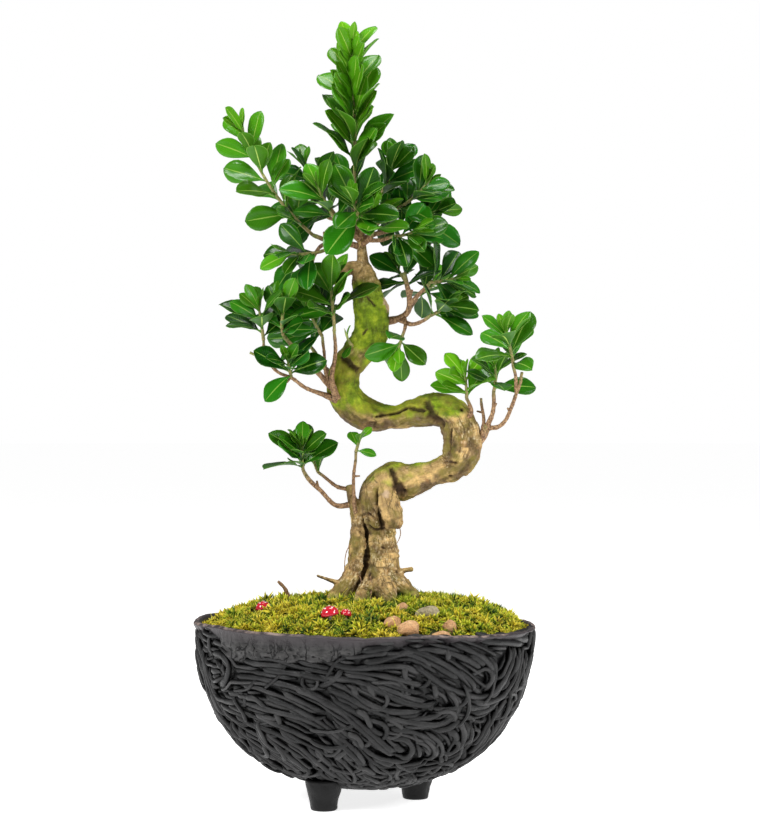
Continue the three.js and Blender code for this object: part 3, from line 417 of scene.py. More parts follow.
def unit(vector):
    """A vector, or each row of an array of them, at length 1."""
    return vector / np.maximum(np.linalg.norm(vector, axis=-1, keepdims=True), 1e-12)


def smoothstep(value, low, high):
    """0 below low, 1 above high and a smooth rise between them."""
    share = np.clip((value - low) / (high - low), 0, 1)
    return share * share * (3 - 2 * share)


def hump(value, low, high, fade, end):
    """A smooth rise from low to high, and a fall from fade to end."""
    return smoothstep(value, low, high) * (1 - smoothstep(value, fade, end))


def turned(x, y, angle):
    """Two coordinates turned about the origin."""
    return x * np.cos(angle) - y * np.sin(angle), x * np.sin(angle) + y * np.cos(angle)


def run_lengths(points):
    """How far along a path each of its points lies."""
    return np.concatenate([[0], np.cumsum(np.linalg.norm(np.diff(points, axis=0), axis=1))])


def cloud(points, size, seed=0.0, octaves=2):
    """Soft noise from about -1 to 1 at each row of points, with lumps of that size."""
    shift = Vector((seed * 7.13, seed * 3.71, -seed * 5.37))
    return np.array([
        noise.fractal(Vector(p) / size + shift, 1.0, 2.0, octaves) for p in np.asarray(points, float)
    ])


def draws(seed):
    """The CAD source's seeded draws from 0 to 1."""
    state = seed
    while True:
        state = (state * 16807) % 2147483647
        yield state / 2147483647


def places_of(mesh):
    """A mesh's vertex places as an array."""
    values = np.empty(len(mesh.vertices) * 3, np.float32)
    mesh.vertices.foreach_get("co", values)
    return values.reshape(-1, 3).astype(float)


def set_places(mesh, places):
    mesh.vertices.foreach_set("co", np.asarray(places, np.float32).ravel())
    mesh.update()


def set_attribute(mesh, name, values):
    """Keeps one number, or three, for each vertex of the mesh."""
    values = np.asarray(values, np.float32)
    kind, field = ("FLOAT_VECTOR", "vector") if values.ndim == 2 else ("FLOAT", "value")
    layer = mesh.attributes.get(name) or mesh.attributes.new(name, kind, "POINT")
    layer.data.foreach_set(field, values.ravel())


def mesh_of(bm, name):
    mesh = bpy.data.meshes.new(name)
    bm.to_mesh(mesh)
    bm.free()
    return mesh


def weld(mesh):
    """Closes seams and poles, and turns the faces outwards."""
    bm = bmesh.new()
    bm.from_mesh(mesh)
    bmesh.ops.remove_doubles(bm, verts=bm.verts, dist=2e-6)
    bmesh.ops.recalc_face_normals(bm, faces=bm.faces)
    bm.to_mesh(mesh)
    bm.free()
    return mesh


def spun(profile, steps, closed=False):
    """A profile of (radius, height) turned round the Z axis."""
    bm = bmesh.new()
    verts = [bm.verts.new((r, 0, z)) for r, z in profile]
    following = verts[1:] + verts[:1] if closed else verts[1:]
    edges = [bm.edges.new(pair) for pair in zip(verts, following)]
    bmesh.ops.spin(
        bm, geom=verts + edges, axis=(0, 0, 1), cent=(0, 0, 0), angle=2 * math.pi, steps=steps, use_merge=True
    )
    return bm


def set_in_place(mesh, name, material, nodes=(), smooth=True):
    """Makes a finished piece of a mesh whose places are in metres."""
    piece = bpy.data.objects.new(name, mesh)
    bpy.context.scene.collection.objects.link(piece)
    mesh.name = name
    mesh.materials.clear()
    mesh.materials.append(material)
    mesh.polygons.foreach_set("use_smooth", [smooth] * len(mesh.polygons))
    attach(piece, BODY)
    if nodes:
        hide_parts(*nodes)
    return piece


def smooth_run(run, step):
    """Points and radii along a limb's centre line, about one every step."""
    knots = np.array(run, float)
    knots = np.vstack([2 * knots[0] - knots[1], knots, 2 * knots[-1] - knots[-2]])
    found = []
    for p0, p1, p2, p3 in zip(knots, knots[1:], knots[2:], knots[3:]):
        spans = ((p0, p1), (p1, p2), (p2, p3))
        t0, t1, t2 = (max(np.linalg.norm((b - a)[:3]), 1e-6) ** 0.5 for a, b in spans)
        leave = ((p1 - p0) / t0 - (p2 - p0) / (t0 + t1) + (p2 - p1) / t1) * t1
        arrive = ((p2 - p1) / t1 - (p3 - p1) / (t1 + t2) + (p3 - p2) / t2) * t1
        count = max(2, math.ceil(np.linalg.norm((p2 - p1)[:3]) / step))
        u = (np.arange(count) / count)[:, None]
        square = 3 * (p2 - p1) - 2 * leave - arrive
        cube = 2 * (p1 - p2) + leave + arrive
        found.append(p1 + leave * u + square * u**2 + cube * u**3)
    found.append(knots[-2][None])
    path = np.vstack(found)
    return path[:, :3], path[:, 3]


def cross_frames(points):
    """Directions along a path, and two across it that don't twist."""
    along = unit(np.gradient(points, axis=0))
    side = np.empty_like(along)
    start = np.array((0, 1, 0) if abs(along[0][1]) < 0.9 else (1, 0, 0), float)
    for i, direction in enumerate(along):
        start = start - direction * start.dot(direction)
        start = start / max(np.linalg.norm(start), 1e-9)
        side[i] = start
    return along, side, np.cross(along, side)


def ring_angles(sides):
    """The angles of a ring's corners, the last the same as the first."""
    angle = np.arange(sides + 1) * (2 * math.pi / sides)
    angle[-1] = 0.0
    return angle


class Limbs:
    """Round limbs for one piece: sheets of squares, each rolled up round its centre line."""

    def __init__(self):
        self.bm = bmesh.new()
        self.places = []
        self.values = {}

    def roll(self, points, body):
        """Keeps a sheet rolled up round its centre line, closed at both ends, and counts its rings."""
        sides = body.shape[1] - 1
        ends = [np.repeat(points[i][None, None], sides + 1, axis=1) for i in (0, -1)]
        body = np.vstack([ends[0], body, ends[1]])
        bmesh.ops.create_grid(self.bm, x_segments=sides, y_segments=len(body) - 1, size=0.5)
        self.places.append(body.reshape(-1, 3))
        return len(body)

    def add(self, points, radii, sides, ribs=None, **values):
        """Rolls one limb; values are kept for each ring."""
        _, side, other = cross_frames(points)
        angle = ring_angles(sides)
        ring = radii[:, None] * (ribs(angle) if ribs is not None else np.ones((1, sides + 1)))
        body = (
            points[:, None]
            + (ring * np.cos(angle))[..., None] * side[:, None]
            + (ring * np.sin(angle))[..., None] * other[:, None]
        )
        self.roll(points, body)
        for name, value in values.items():
            value = np.broadcast_to(value, (len(points),) + np.shape(value)[1:])
            value = np.concatenate([value[:1], value, value[-1:]])
            self.values.setdefault(name, []).append(np.repeat(value, sides + 1, axis=0))

    def mesh(self, name):
        mesh = mesh_of(self.bm, name)
        set_places(mesh, np.vstack(self.places) * MM)
        for key, parts in self.values.items():
            set_attribute(mesh, key, np.concatenate(parts))
        return weld(mesh)


# Materials.


class Finish:
    """A material: its shader and the nodes that feed it."""

    def __init__(self, name, **constants):
        self.material = bpy.data.materials.new(name)
        self.material.use_nodes = True
        self.tree = self.material.node_tree
        self.shader = self.tree.nodes["Principled BSDF"]
        for socket, value in constants.items():
            self.shader.inputs[socket.replace("_", " ")].default_value = value
        self.object_place = self.node("ShaderNodeTexCoord").outputs["Object"]

    def node(self, kind, **settings):
        made = self.tree.nodes.new(kind)
        for key, value in settings.items():
            setattr(made, key, value)
        return made

    def put(self, socket, value):
        if hasattr(value, "is_output"):
            self.tree.links.new(value, socket)
        else:
            socket.default_value = value

    def attribute(self, name, part="Fac"):
        return self.node("ShaderNodeAttribute", attribute_name=name).outputs[part]

    def stretched(self, size, place=None):
        """A place divided by a size in millimetres, or by one for each direction."""
        made = self.node("ShaderNodeMapping", vector_type="POINT")
        self.put(made.inputs["Vector"], place or self.object_place)
        sizes = size if isinstance(size, tuple) else (size,) * 3
        made.inputs["Scale"].default_value = [1000.0 / s for s in sizes]
        return made.outputs["Vector"]

    def texture(self, kind, size, place, **settings):
        """A texture whose lumps have a size in millimetres, or one for each direction."""
        made = self.node(kind, **settings)
        self.put(made.inputs["Vector"], self.stretched(size, place))
        made.inputs["Scale"].default_value = 1.0
        return made

    def speckle(self, size, detail=3.0, roughness=0.55, place=None):
        """Noise from 0 to 1."""
        made = self.texture("ShaderNodeTexNoise", size, place)
        made.inputs["Detail"].default_value = detail
        made.inputs["Roughness"].default_value = roughness
        return made.outputs["Fac"]

    def cells(self, size, feature="F1", place=None):
        return self.texture("ShaderNodeTexVoronoi", size, place, feature=feature).outputs["Distance"]

    def warped(self, place, size, reach):
        """A place pushed about by noise, by so many millimetres."""
        push = self.node("ShaderNodeVectorMath", operation="MULTIPLY_ADD")
        self.put(push.inputs[0], self.texture("ShaderNodeTexNoise", size, place).outputs["Color"])
        push.inputs[1].default_value = (reach * MM,) * 3
        self.put(push.inputs[2], place)
        return push.outputs["Vector"]

    def ramp(self, value, *stops):
        """A colour or a number by stops of (place, value)."""
        made = self.node("ShaderNodeValToRGB")
        points = made.color_ramp.elements
        while len(points) < len(stops):
            points.new(0.5)
        for point, (place, shade) in zip(points, stops):
            point.position = place
            point.color = (*shade, 1) if isinstance(shade, tuple) else (shade, shade, shade, 1)
        self.put(made.inputs["Fac"], value)
        return made.outputs["Color"]

    def mix(self, share, first, second, blend="MIX"):
        made = self.node("ShaderNodeMix", data_type="RGBA", blend_type=blend)
        self.put(made.inputs["Factor"], share)
        for socket, value in ((made.inputs["A"], first), (made.inputs["B"], second)):
            self.put(socket, (*value, 1) if isinstance(value, tuple) else value)
        return made.outputs["Result"]

    def rise(self, value, low, high, top=1.0):
        """0 up to low, and top from high on."""
        return self.ramp(value, (low, 0.0), (high, top))

    def fall(self, value, low, high, top=1.0):
        """top up to low, and 0 from high on."""
        return self.ramp(value, (low, top), (high, 0.0))

    def sum(self, operation, first, second=0.0):
        made = self.node("ShaderNodeMath", operation=operation)
        self.put(made.inputs[0], first)
        self.put(made.inputs[1], second)
        return made.outputs["Value"]

    def times(self, first, second):
        return self.sum("MULTIPLY", first, second)

    def part(self, vector, axis):
        made = self.node("ShaderNodeSeparateXYZ")
        self.put(made.inputs["Vector"], vector)
        return made.outputs[axis]

    def relief(self, height, depth, strength=1.0, over=None):
        """Bumps of a depth in millimetres, over earlier bumps."""
        made = self.node("ShaderNodeBump")
        made.inputs["Strength"].default_value = strength
        made.inputs["Distance"].default_value = depth * MM
        self.put(made.inputs["Height"], height)
        if over is not None:
            self.put(made.inputs["Normal"], over)
        return made.outputs["Normal"]

    def use(self, **sockets):
        for socket, value in sockets.items():
            self.put(self.shader.inputs[socket.replace("_", " ")], value)
        return self.material


def scaled(colour, share):
    """A colour made darker or lighter."""
    return tuple(min(1.0, share * c) for c in colour)


def halfway(first, second):
    """The colour in the middle of two."""
    return tuple(0.5 * (a + b) for a, b in zip(first, second))


def cast_clay(colour):
    """Charcoal clay: painted shade near black between the strands and in the smear's seams and pits, pale
    specks on the crests that are partly a dusting and partly painted highlight, and rubbed brown at the rim.
    """
    finish = Finish("charcoal_clay", Roughness=0.5, Specular_IOR_Level=0.27)
    mix, rise, fall, speckle = finish.mix, finish.rise, finish.fall, finish.speckle
    times, relief, attribute = finish.times, finish.relief, finish.attribute
    crest = attribute("crest")
    blotch = speckle(30, 3)
    grain = speckle(1.6, 4, 0.7)
    dark = scaled(colour, 0.06)
    light = scaled(colour, 1.7)
    worn = mix(rise(blotch, 0.3, 0.75), colour, light)
    worn = mix(fall(speckle(3.6, 4, 0.7), 0.36, 0.52, 0.75), worn, dark)
    single = speckle((60, 70, 2.5), 2, 0.5, attribute("strand_place", "Vector"))
    worn = mix(fall(single, 0.42, 0.5, 0.65), worn, dark)
    worn = mix(rise(single, 0.5, 0.6, 0.6), worn, (0.036, 0.035, 0.035))
    # painted shade: the sides of the strands and the wall between them take the near-black colour
    tone = mix(rise(crest, 0.52, 0.95), dark, worn)
    # pale specks on the crests: partly a dusting, partly painted highlight
    dust_and_highlight = rise(speckle(3.4, 5, 0.75), 0.66, 0.82, 0.35)
    tone = mix(times(dust_and_highlight, crest), tone, (0.075, 0.07, 0.07))
    # smeared plates under the rim, with seams between them and pits, painted near black as shade in these
    # recesses
    flat = attribute("smear")
    seams = finish.cells((24, 24, 52), "DISTANCE_TO_EDGE", finish.warped(finish.object_place, 14, 12))
    seams = fall(seams, 0.0, 0.035, 0.95)
    pits = rise(speckle((7, 7, 5), 2), 0.62, 0.67)
    plates = mix(rise(speckle((10, 10, 4), 5, 0.7), 0.35, 0.65), worn, (0.048, 0.046, 0.045))
    openings = finish.sum("MAXIMUM", seams, pits)
    plates = mix(openings, plates, dark)
    tone = mix(flat, tone, plates)
    edge = attribute("rim")
    tone = mix(rise(edge, 0.05, 0.5, 0.7), tone, (0.050, 0.041, 0.045))
    pale = rise(speckle(9, 4, 0.7), 0.40, 0.62, 0.85)
    pale = times(pale, finish.ramp(speckle(85, 2), (0.44, 0.12), (0.56, 1.0)))
    tone = mix(times(rise(edge, 0.75, 0.97), pale), tone, (0.36, 0.27, 0.23))
    holes = times(openings, flat)
    rough = finish.ramp(grain, (0.3, 0.36), (0.8, 0.66))
    bumps = relief(grain, 0.4, 0.7)
    bumps = relief(speckle(6, 3), 1.1, 0.7, bumps)
    drawn = speckle((1.5, 16, 3), 3, 0.6, attribute("strand_place", "Vector"))
    bumps = relief(drawn, 0.5, 0.7, bumps)
    bumps = relief(finish.sum("SUBTRACT", 1.0, holes), 1.6, 0.9, bumps)
    return finish.use(Base_Color=tone, Roughness=rough, Normal=bumps)


def potting_soil():
    finish = Finish("potting_soil", Roughness=1.0)
    crumb = finish.cells(3.2)
    tone = finish.ramp(finish.speckle(5, 5, 0.7), (0.3, (0.012, 0.008, 0.005)), (0.7, (0.06, 0.038, 0.022)))
    bumps = finish.relief(crumb, 2.0, 0.9)
    bumps = finish.relief(finish.speckle(1.2, 4), 0.5, 0.6, bumps)
    return finish.use(Base_Color=tone, Normal=bumps)


def cushion_moss(deep, bright, ripe):
    """Moss: painted shade near black between the tufts and low on them, lime and straw by tint, and a painted
    highlight of pale yellow at their tips.
    """
    finish = Finish("cushion_moss", Roughness=0.75, Specular_IOR_Level=0.25)
    tint = finish.attribute("moss_tint")
    tip = finish.attribute("moss_tip")
    shade = finish.ramp(
        tint, (0.0, (0.02, 0.07, 0.004)), (0.25, deep), (0.5, bright), (0.82, ripe), (1.0, (0.86, 0.66, 0.04))
    )
    # painted shade: near black low on the tufts and on the mat between them
    shade = finish.mix(finish.fall(tip, 0.34, 0.76, 0.98), shade, (0.008, 0.013, 0.001))
    sunlit = finish.rise(tip, 0.62, 0.95, 0.9)
    lively = finish.ramp(finish.speckle(3.2, 3, 0.7), (0.42, 0.15), (0.58, 1.0))
    sunlit = finish.times(finish.times(sunlit, finish.ramp(tint, (0.3, 0.2), (0.6, 1.0))), lively)
    shade = finish.mix(sunlit, shade, (1.0, 0.95, 0.20))
    shade = finish.mix(finish.fall(finish.speckle(4.5, 4, 0.75), 0.38, 0.5, 0.7), shade, (0.03, 0.055, 0.003))
    bumps = finish.relief(finish.speckle(1.1, 3), 0.5, 0.6)
    return finish.use(Base_Color=shade, Normal=bumps)


def ficus_bark(pale, dark, algae_colour):
    """Smooth tan ficus bark: fine wrinkles across, cracks and fibres along, dark scars, lime algae, painted
    shade in the folds, hollows and undersides, and a painted highlight on the raised form.
    """
    finish = Finish("ficus_bark", Roughness=0.8, Specular_IOR_Level=0.25)
    mix, ramp, rise, fall = finish.mix, finish.ramp, finish.rise, finish.fall
    speckle, times, relief, attribute = finish.speckle, finish.times, finish.relief, finish.attribute
    round_place = attribute("bark_place", "Vector")
    algae, scar_and_fold, graze = (attribute(name) for name in ("algae", "scar_and_fold", "graze"))
    # the dark bark darker still: for the painted shade on the undersides and in the hollows, and for the
    # cracks
    deep = scaled(dark, 0.3)
    fibres = speckle((1.8, 1.8, 14.0), 4, 0.6, round_place)
    wrinkles = speckle((9.0, 9.0, 1.5), 4, 0.6, round_place)
    calm = attribute("calm")
    busy = ramp(calm, (0.0, 1.0), (1.0, 0.3))
    cracks = finish.cells((10.0, 10.0, 24.0), "DISTANCE_TO_EDGE", finish.warped(round_place, 5.0, 4.0))
    tone = ramp(
        speckle(13, 6, 0.68), (0.33, scaled(dark, 0.55)), (0.43, halfway(pale, dark)), (0.53, pale),
        (0.68, scaled(pale, 1.75)),
    )
    tone = mix(rise(calm, 0.0, 1.0, 0.5), tone, scaled(pale, 0.85))
    # painted shade on the undersides and left flanks, and darker bark at the right bend and the neck
    under = rise(attribute("under"), 0.05, 0.6, 0.88)
    tone = mix(under, tone, mix(rise(speckle(5, 4, 0.7), 0.35, 0.65), deep, (0.15, 0.10, 0.06)))
    # painted highlight on the raised parts of the carved form
    raised = rise(attribute("raised"), 0.15, 0.9, 0.7)
    tone = mix(raised, tone, scaled(pale, 1.7))
    tone = mix(fall(fibres, 0.36, 0.5, 0.4), tone, dark)
    tone = mix(times(busy, fall(wrinkles, 0.38, 0.52, 0.6)), tone, dark)
    # painted shade in the hollows of the carved form
    tone = mix(rise(attribute("hollow"), 0.35, 1.0, 0.75), tone, deep)
    open_cracks = times(fall(cracks, 0.0, 0.07, 0.85), rise(speckle(22, 3), 0.42, 0.6))
    tone = mix(open_cracks, tone, deep)
    olive = rise(speckle(19, 4), 0.46, 0.64, 0.7)
    tone = mix(olive, tone, (0.21, 0.175, 0.03))
    orange = rise(speckle(11, 3), 0.6, 0.76, 0.4)
    tone = mix(orange, tone, (0.50, 0.24, 0.09))
    tone = mix(times(graze, 0.7), tone, (0.60, 0.43, 0.29))
    film = times(algae, ramp(speckle(5.5, 5, 0.72), (0.3, 0.6), (0.5, 1.0)))
    lime = ramp(
        speckle(13, 5, 0.6), (0.34, scaled(algae_colour, 0.3)), (0.48, algae_colour),
        (0.66, (0.40, 0.50, 0.02)),
    )
    faded = times(rise(calm, 0.6, 0.95), rise(speckle(28, 4, 0.65), 0.42, 0.6, 0.6))
    lime = mix(faded, lime, (0.25, 0.195, 0.02))
    tone = mix(rise(film, 0.12, 0.62, 0.94), tone, lime)
    specks = speckle((2.4, 2.4, 3.6), 3, 0.6, round_place)
    coarse = times(busy, ramp(speckle(24, 3, 0.6), (0.42, 0.15), (0.6, 1.0)))
    dim = times(fall(specks, 0.34, 0.48, 0.85), coarse)
    tone = mix(dim, tone, scaled(dark, 0.5))
    lit = times(rise(specks, 0.52, 0.64, 0.65), coarse)
    lit = times(lit, ramp(film, (0.1, 1.0), (0.5, 0.15)))
    tone = mix(times(lit, ramp(attribute("under"), (0.1, 1.0), (0.6, 0.25))), tone, (0.92, 0.79, 0.50))
    scar_and_fold = finish.sum("ADD", scar_and_fold, ramp(speckle(2.6, 4, 0.7), (0.3, -0.12), (0.7, 0.12)))
    # dark brown to near black: the scars' own colour, and painted shade in the folds and crevices
    scar_colour_and_fold_shade = ramp(scar_and_fold, (0.35, (0.10, 0.052, 0.020)), (0.9, (0.030, 0.015, 0.006)))
    tone = mix(ramp(scar_and_fold, (0.04, 0.0), (0.5, 0.6), (0.85, 0.88)), tone, scar_colour_and_fold_shade)
    rough = ramp(fibres, (0.3, 0.9), (0.7, 0.66))
    bumps = relief(fibres, 0.6, 0.7)
    bumps = relief(wrinkles, 0.9, 0.8, bumps)
    bumps = relief(speckle(3.2, 5, 0.7), 0.8, 0.7, bumps)
    bumps = relief(rise(cracks, 0.0, 0.12), 0.6, 0.5, bumps)
    return finish.use(Base_Color=tone, Roughness=rough, Normal=bumps)


def twig_bark():
    """Brown young bark with pale lenticels, green where the shoot is young."""
    finish = Finish("twig_bark", Roughness=0.7)
    young = finish.attribute("young")
    tone = finish.ramp(
        finish.speckle(2.5, 4, 0.6), (0.33, (0.06, 0.028, 0.012)), (0.5, (0.24, 0.13, 0.058)),
        (0.68, (0.48, 0.30, 0.15)),
    )
    green = finish.ramp(finish.speckle(6, 2), (0.3, (0.10, 0.17, 0.03)), (0.7, (0.26, 0.33, 0.07)))
    tone = finish.mix(young, tone, green)
    specks = finish.fall(finish.cells(2.2), 0.1, 0.22, 0.6)
    tone = finish.mix(specks, tone, (0.5, 0.42, 0.3))
    bumps = finish.relief(finish.speckle(1.3, 4), 0.4, 0.7)
    return finish.use(Base_Color=tone, Normal=bumps)


def ficus_leaf(mature, young):
    """Glossy ficus blade with a pale midrib, fine side veins and a paler matte underside, painted darker as
    shade deep in the crown.
    """
    finish = Finish("ficus_leaf", Roughness=0.3, Specular_IOR_Level=0.2)
    mix, rise, speckle, times = finish.mix, finish.rise, finish.speckle, finish.times
    place = finish.attribute("leaf_place", "Vector")
    mood = finish.attribute("leaf_mood", "Vector")
    across, along, upper = (finish.part(place, axis) for axis in "XYZ")
    tint, youth, crown_shade = (finish.part(mood, axis) for axis in "XYZ")
    from_rib = finish.sum("ABSOLUTE", across)
    blotch = speckle(9, 3)
    green = mix(rise(tint, 0.0, 1.0), scaled(mature, 0.05), scaled(mature, 2.3))
    green = mix(rise(blotch, 0.35, 0.7, 0.35), green, scaled(mature, 1.8))
    green = mix(youth, green, young)
    # side veins leave the midrib at a slant, a little paler than the blade
    slant = finish.sum("SUBTRACT", times(along, 17.0), times(from_rib, 3.6))
    wave = finish.sum("SINE", times(slant, 2 * math.pi))
    veins = rise(wave, 0.72, 0.98, 0.32)
    green = mix(veins, green, mix(youth, scaled(mature, 2.4), (0.36, 0.5, 0.06)))
    rib_width = finish.sum("MULTIPLY_ADD", along, -0.07)
    rib_width.node.inputs[2].default_value = 0.105
    rib = finish.sum("DIVIDE", from_rib, rib_width)
    rib = finish.fall(rib, 0.55, 1.0, 0.92)
    green = mix(rib, green, mix(youth, (0.22, 0.42, 0.06), (0.50, 0.68, 0.11)))
    edge = rise(from_rib, 0.91, 1.0, 0.6)
    green = mix(edge, green, (0.20, 0.40, 0.06))
    below = mix(youth, (0.024, 0.115, 0.006), (0.12, 0.38, 0.006))
    below = mix(rise(blotch, 0.35, 0.7, 0.5), below, mix(youth, (0.012, 0.07, 0.004), (0.13, 0.34, 0.008)))
    under = mix(rib, mix(edge, below, (0.24, 0.42, 0.08)), (0.46, 0.64, 0.13))
    side = rise(upper, 0.35, 0.65)
    tone = mix(side, under, green)
    # painted shade: leaves deep in the crown darker
    tone = mix(crown_shade, tone, (0.0025, 0.018, 0.001))
    rough = finish.ramp(side, (0.0, 0.5), (1.0, 0.17))
    rough = finish.sum("ADD", rough, rise(speckle(7, 3), 0.3, 0.8, 0.12))
    bumps = finish.relief(veins, 0.25, 0.5)
    bumps = finish.relief(speckle(6, 2), 0.5, 0.4, bumps)
    glow = mix(youth, scaled(mature, 1.6), young)
    finish.use(Base_Color=tone, Roughness=rough, Normal=bumps)
    # light that shines through the blade
    through = finish.node("ShaderNodeBsdfTranslucent")
    finish.put(through.inputs["Color"], mix(side, mix(0.5, under, glow), glow))
    both = finish.node("ShaderNodeMixShader")
    both.inputs["Fac"].default_value = 0.1
    finish.tree.links.new(finish.shader.outputs["BSDF"], both.inputs[1])
    finish.tree.links.new(through.outputs["BSDF"], both.inputs[2])
    finish.tree.links.new(both.outputs["Shader"], finish.tree.nodes["Material Output"].inputs["Surface"])
    return finish.material


def weathered_stone(name, pale, deep):
    finish = Finish(name, Roughness=0.85)
    pits = finish.cells(3.0)
    tone = finish.ramp(finish.speckle(8, 5, 0.65), (0.3, deep), (0.52, halfway(pale, deep)), (0.7, pale))
    tone = finish.mix(finish.fall(finish.speckle(1.5, 3), 0.38, 0.5, 0.55), tone, scaled(deep, 0.4))
    tone = finish.mix(finish.fall(pits, 0.05, 0.3, 0.5), tone, deep)
    bumps = finish.relief(finish.speckle(2.0, 5, 0.7), 1.0, 0.8)
    bumps = finish.relief(pits, 0.7, 0.5, bumps)
    return finish.use(Base_Color=tone, Normal=bumps)


def mottled(name, patches, dark, light, grain, **constants):
    """A finish in soft patches from dark to light, with fine bumps.

    patches holds their size and detail; grain holds the size, detail, depth and strength of the bumps.
    """
    finish = Finish(name, **constants)
    tone = finish.ramp(finish.speckle(*patches), (0.3, dark), (0.7, light))
    size, detail, depth, strength = grain
    bumps = finish.relief(finish.speckle(size, detail), depth, strength)
    return finish.use(Base_Color=tone, Normal=bumps)


def red_lacquer():
    return mottled(
        "red_lacquer", (6, 2), (0.45, 0.004, 0.018), (0.66, 0.010, 0.03), (2.5, 2, 0.3, 0.3),
        Roughness=0.2, Coat_Weight=0.6, Coat_Roughness=0.08,
    )


def cream_paint():
    return mottled(
        "cream_paint", (2.5, 3), (0.66, 0.60, 0.46), (0.86, 0.83, 0.74), (1.0, 3, 0.2, 0.5), Roughness=0.5
    )


def white_paint():
    return mottled(
        "white_paint", (1.5, 2), (0.78, 0.75, 0.72), (0.9, 0.88, 0.86), (0.8, 2, 0.1, 0.5), Roughness=0.35
    )


def studio_floor(brightness):
    return mottled(
        "studio_floor", (900, 2), (brightness,) * 3, (brightness * 1.01,) * 3, (5, 2, 0.05, 0.2),
        Roughness=0.9, Emission_Color=(1, 1, 1, 1), Emission_Strength=0.8,
    )


# The bowl.


def bowl_radius(z, inset):
    """The bowl's outer radius at a height, drawn in by an inset."""
    drop = (RIM_HEIGHT - np.asarray(z, float)) / (RIM_HEIGHT - BASE_HEIGHT)
    share = np.maximum(0, 1 - np.maximum(0, drop) ** BOWL_FULLNESS)
    return (BOWL_RADIUS - inset) * share ** (1 / BOWL_FULLNESS)


def rim_wave(angle):
    """How far the uneven rim stands above or below its mean height, highest at the left."""
    return -RIM_SLOPE * np.cos(angle) + 0.9 * np.sin(5 * angle + 1) + 0.6 * np.sin(9 * angle)


# Below this height over the base the wall turns in to the base, and its rows lie closer.
TURN_IN = 12
# The outside of the bowl, measured along its wall from the rim down to the middle of its base.
_upper = np.linspace(RIM_HEIGHT, BASE_HEIGHT + TURN_IN, 160)
_lower = BASE_HEIGHT + TURN_IN * (1 - np.linspace(0, 1, 80)[1:]) ** 2.2
_heights = np.concatenate([_upper, _lower])
_radii = bowl_radius(_heights, 0)
WALL_LENGTHS = np.concatenate([[0], np.cumsum(np.hypot(np.diff(_heights), np.diff(_radii)))])
_steps = np.stack([np.gradient(_radii), np.gradient(_heights)], axis=1)
WALL_NORMALS = unit(np.stack([-_steps[:, 1], _steps[:, 0]], axis=1))


def on_wall(angle, length, out=0.0):
    """The place at an angle and a length down the wall, standing out by so much, and the way it faces."""
    radius = np.interp(length, WALL_LENGTHS, _radii)
    height = np.interp(length, WALL_LENGTHS, _heights)
    facing = np.stack([np.interp(length, WALL_LENGTHS, WALL_NORMALS[:, i]) for i in (0, 1)], axis=-1)
    facing = unit(facing)
    radius = radius + facing[..., 0] * out
    height = height + facing[..., 1] * out
    outward = np.stack([np.cos(angle), np.sin(angle)], axis=-1)
    place = np.concatenate([outward * np.asarray(radius)[..., None], np.asarray(height)[..., None]], axis=-1)
    normal = np.concatenate([outward * facing[..., :1], facing[..., 1:]], axis=-1)
    return place, normal


def smear_depth(angle):
    """How far down from the rim the strands are smeared flat: deepest at the front, left of the middle."""
    turn = np.degrees(angle) % 360
    ragged = 2.5 * np.sin(7 * angle) + 2 * np.sin(13 * angle + 2)
    ragged = ragged + 1.6 * np.sin(31 * angle + 1) + 1.2 * np.sin(53 * angle)
    return 7 + 24 * hump(turn, 210, 224, 258, 276) + 18 * hump(turn, 45, 62, 84, 100) + ragged


def make_bowl_shell(steps):
    """The bowl's wall, spun from its profile."""
    rows = 110
    lengths = np.linspace(0, 1, rows) ** 0.9 * WALL_LENGTHS[-1]
    outer = [(np.interp(s, WALL_LENGTHS, _radii), np.interp(s, WALL_LENGTHS, _heights)) for s in lengths]
    outer = [p for p in outer if p[0] > DRAIN_RADIUS][4:]
    round_off = LIP_WIDTH / 2
    lip = [
        (BOWL_RADIUS - round_off + math.cos(a) * round_off, RIM_HEIGHT - round_off + round_off * math.sin(a))
        for a in np.linspace(math.pi, 0, 11)
    ]
    inner_heights = np.linspace(RIM_HEIGHT - 16, BASE_HEIGHT + WALL, 14)
    inner = [(float(bowl_radius(z - WALL, WALL)), float(z)) for z in inner_heights[::-1]]
    inner[0] = (inner[1][0] - 22, BASE_HEIGHT + WALL)
    inner = [(DRAIN_RADIUS, BASE_HEIGHT + WALL)] + inner + [(BOWL_RADIUS - LIP_WIDTH - 1.0, RIM_HEIGHT - 9)]
    bm = spun(inner + lip + outer + [(DRAIN_RADIUS, BASE_HEIGHT)], steps, closed=True)
    bmesh.ops.recalc_face_normals(bm, faces=bm.faces)
    return mesh_of(bm, "bowl_shell")


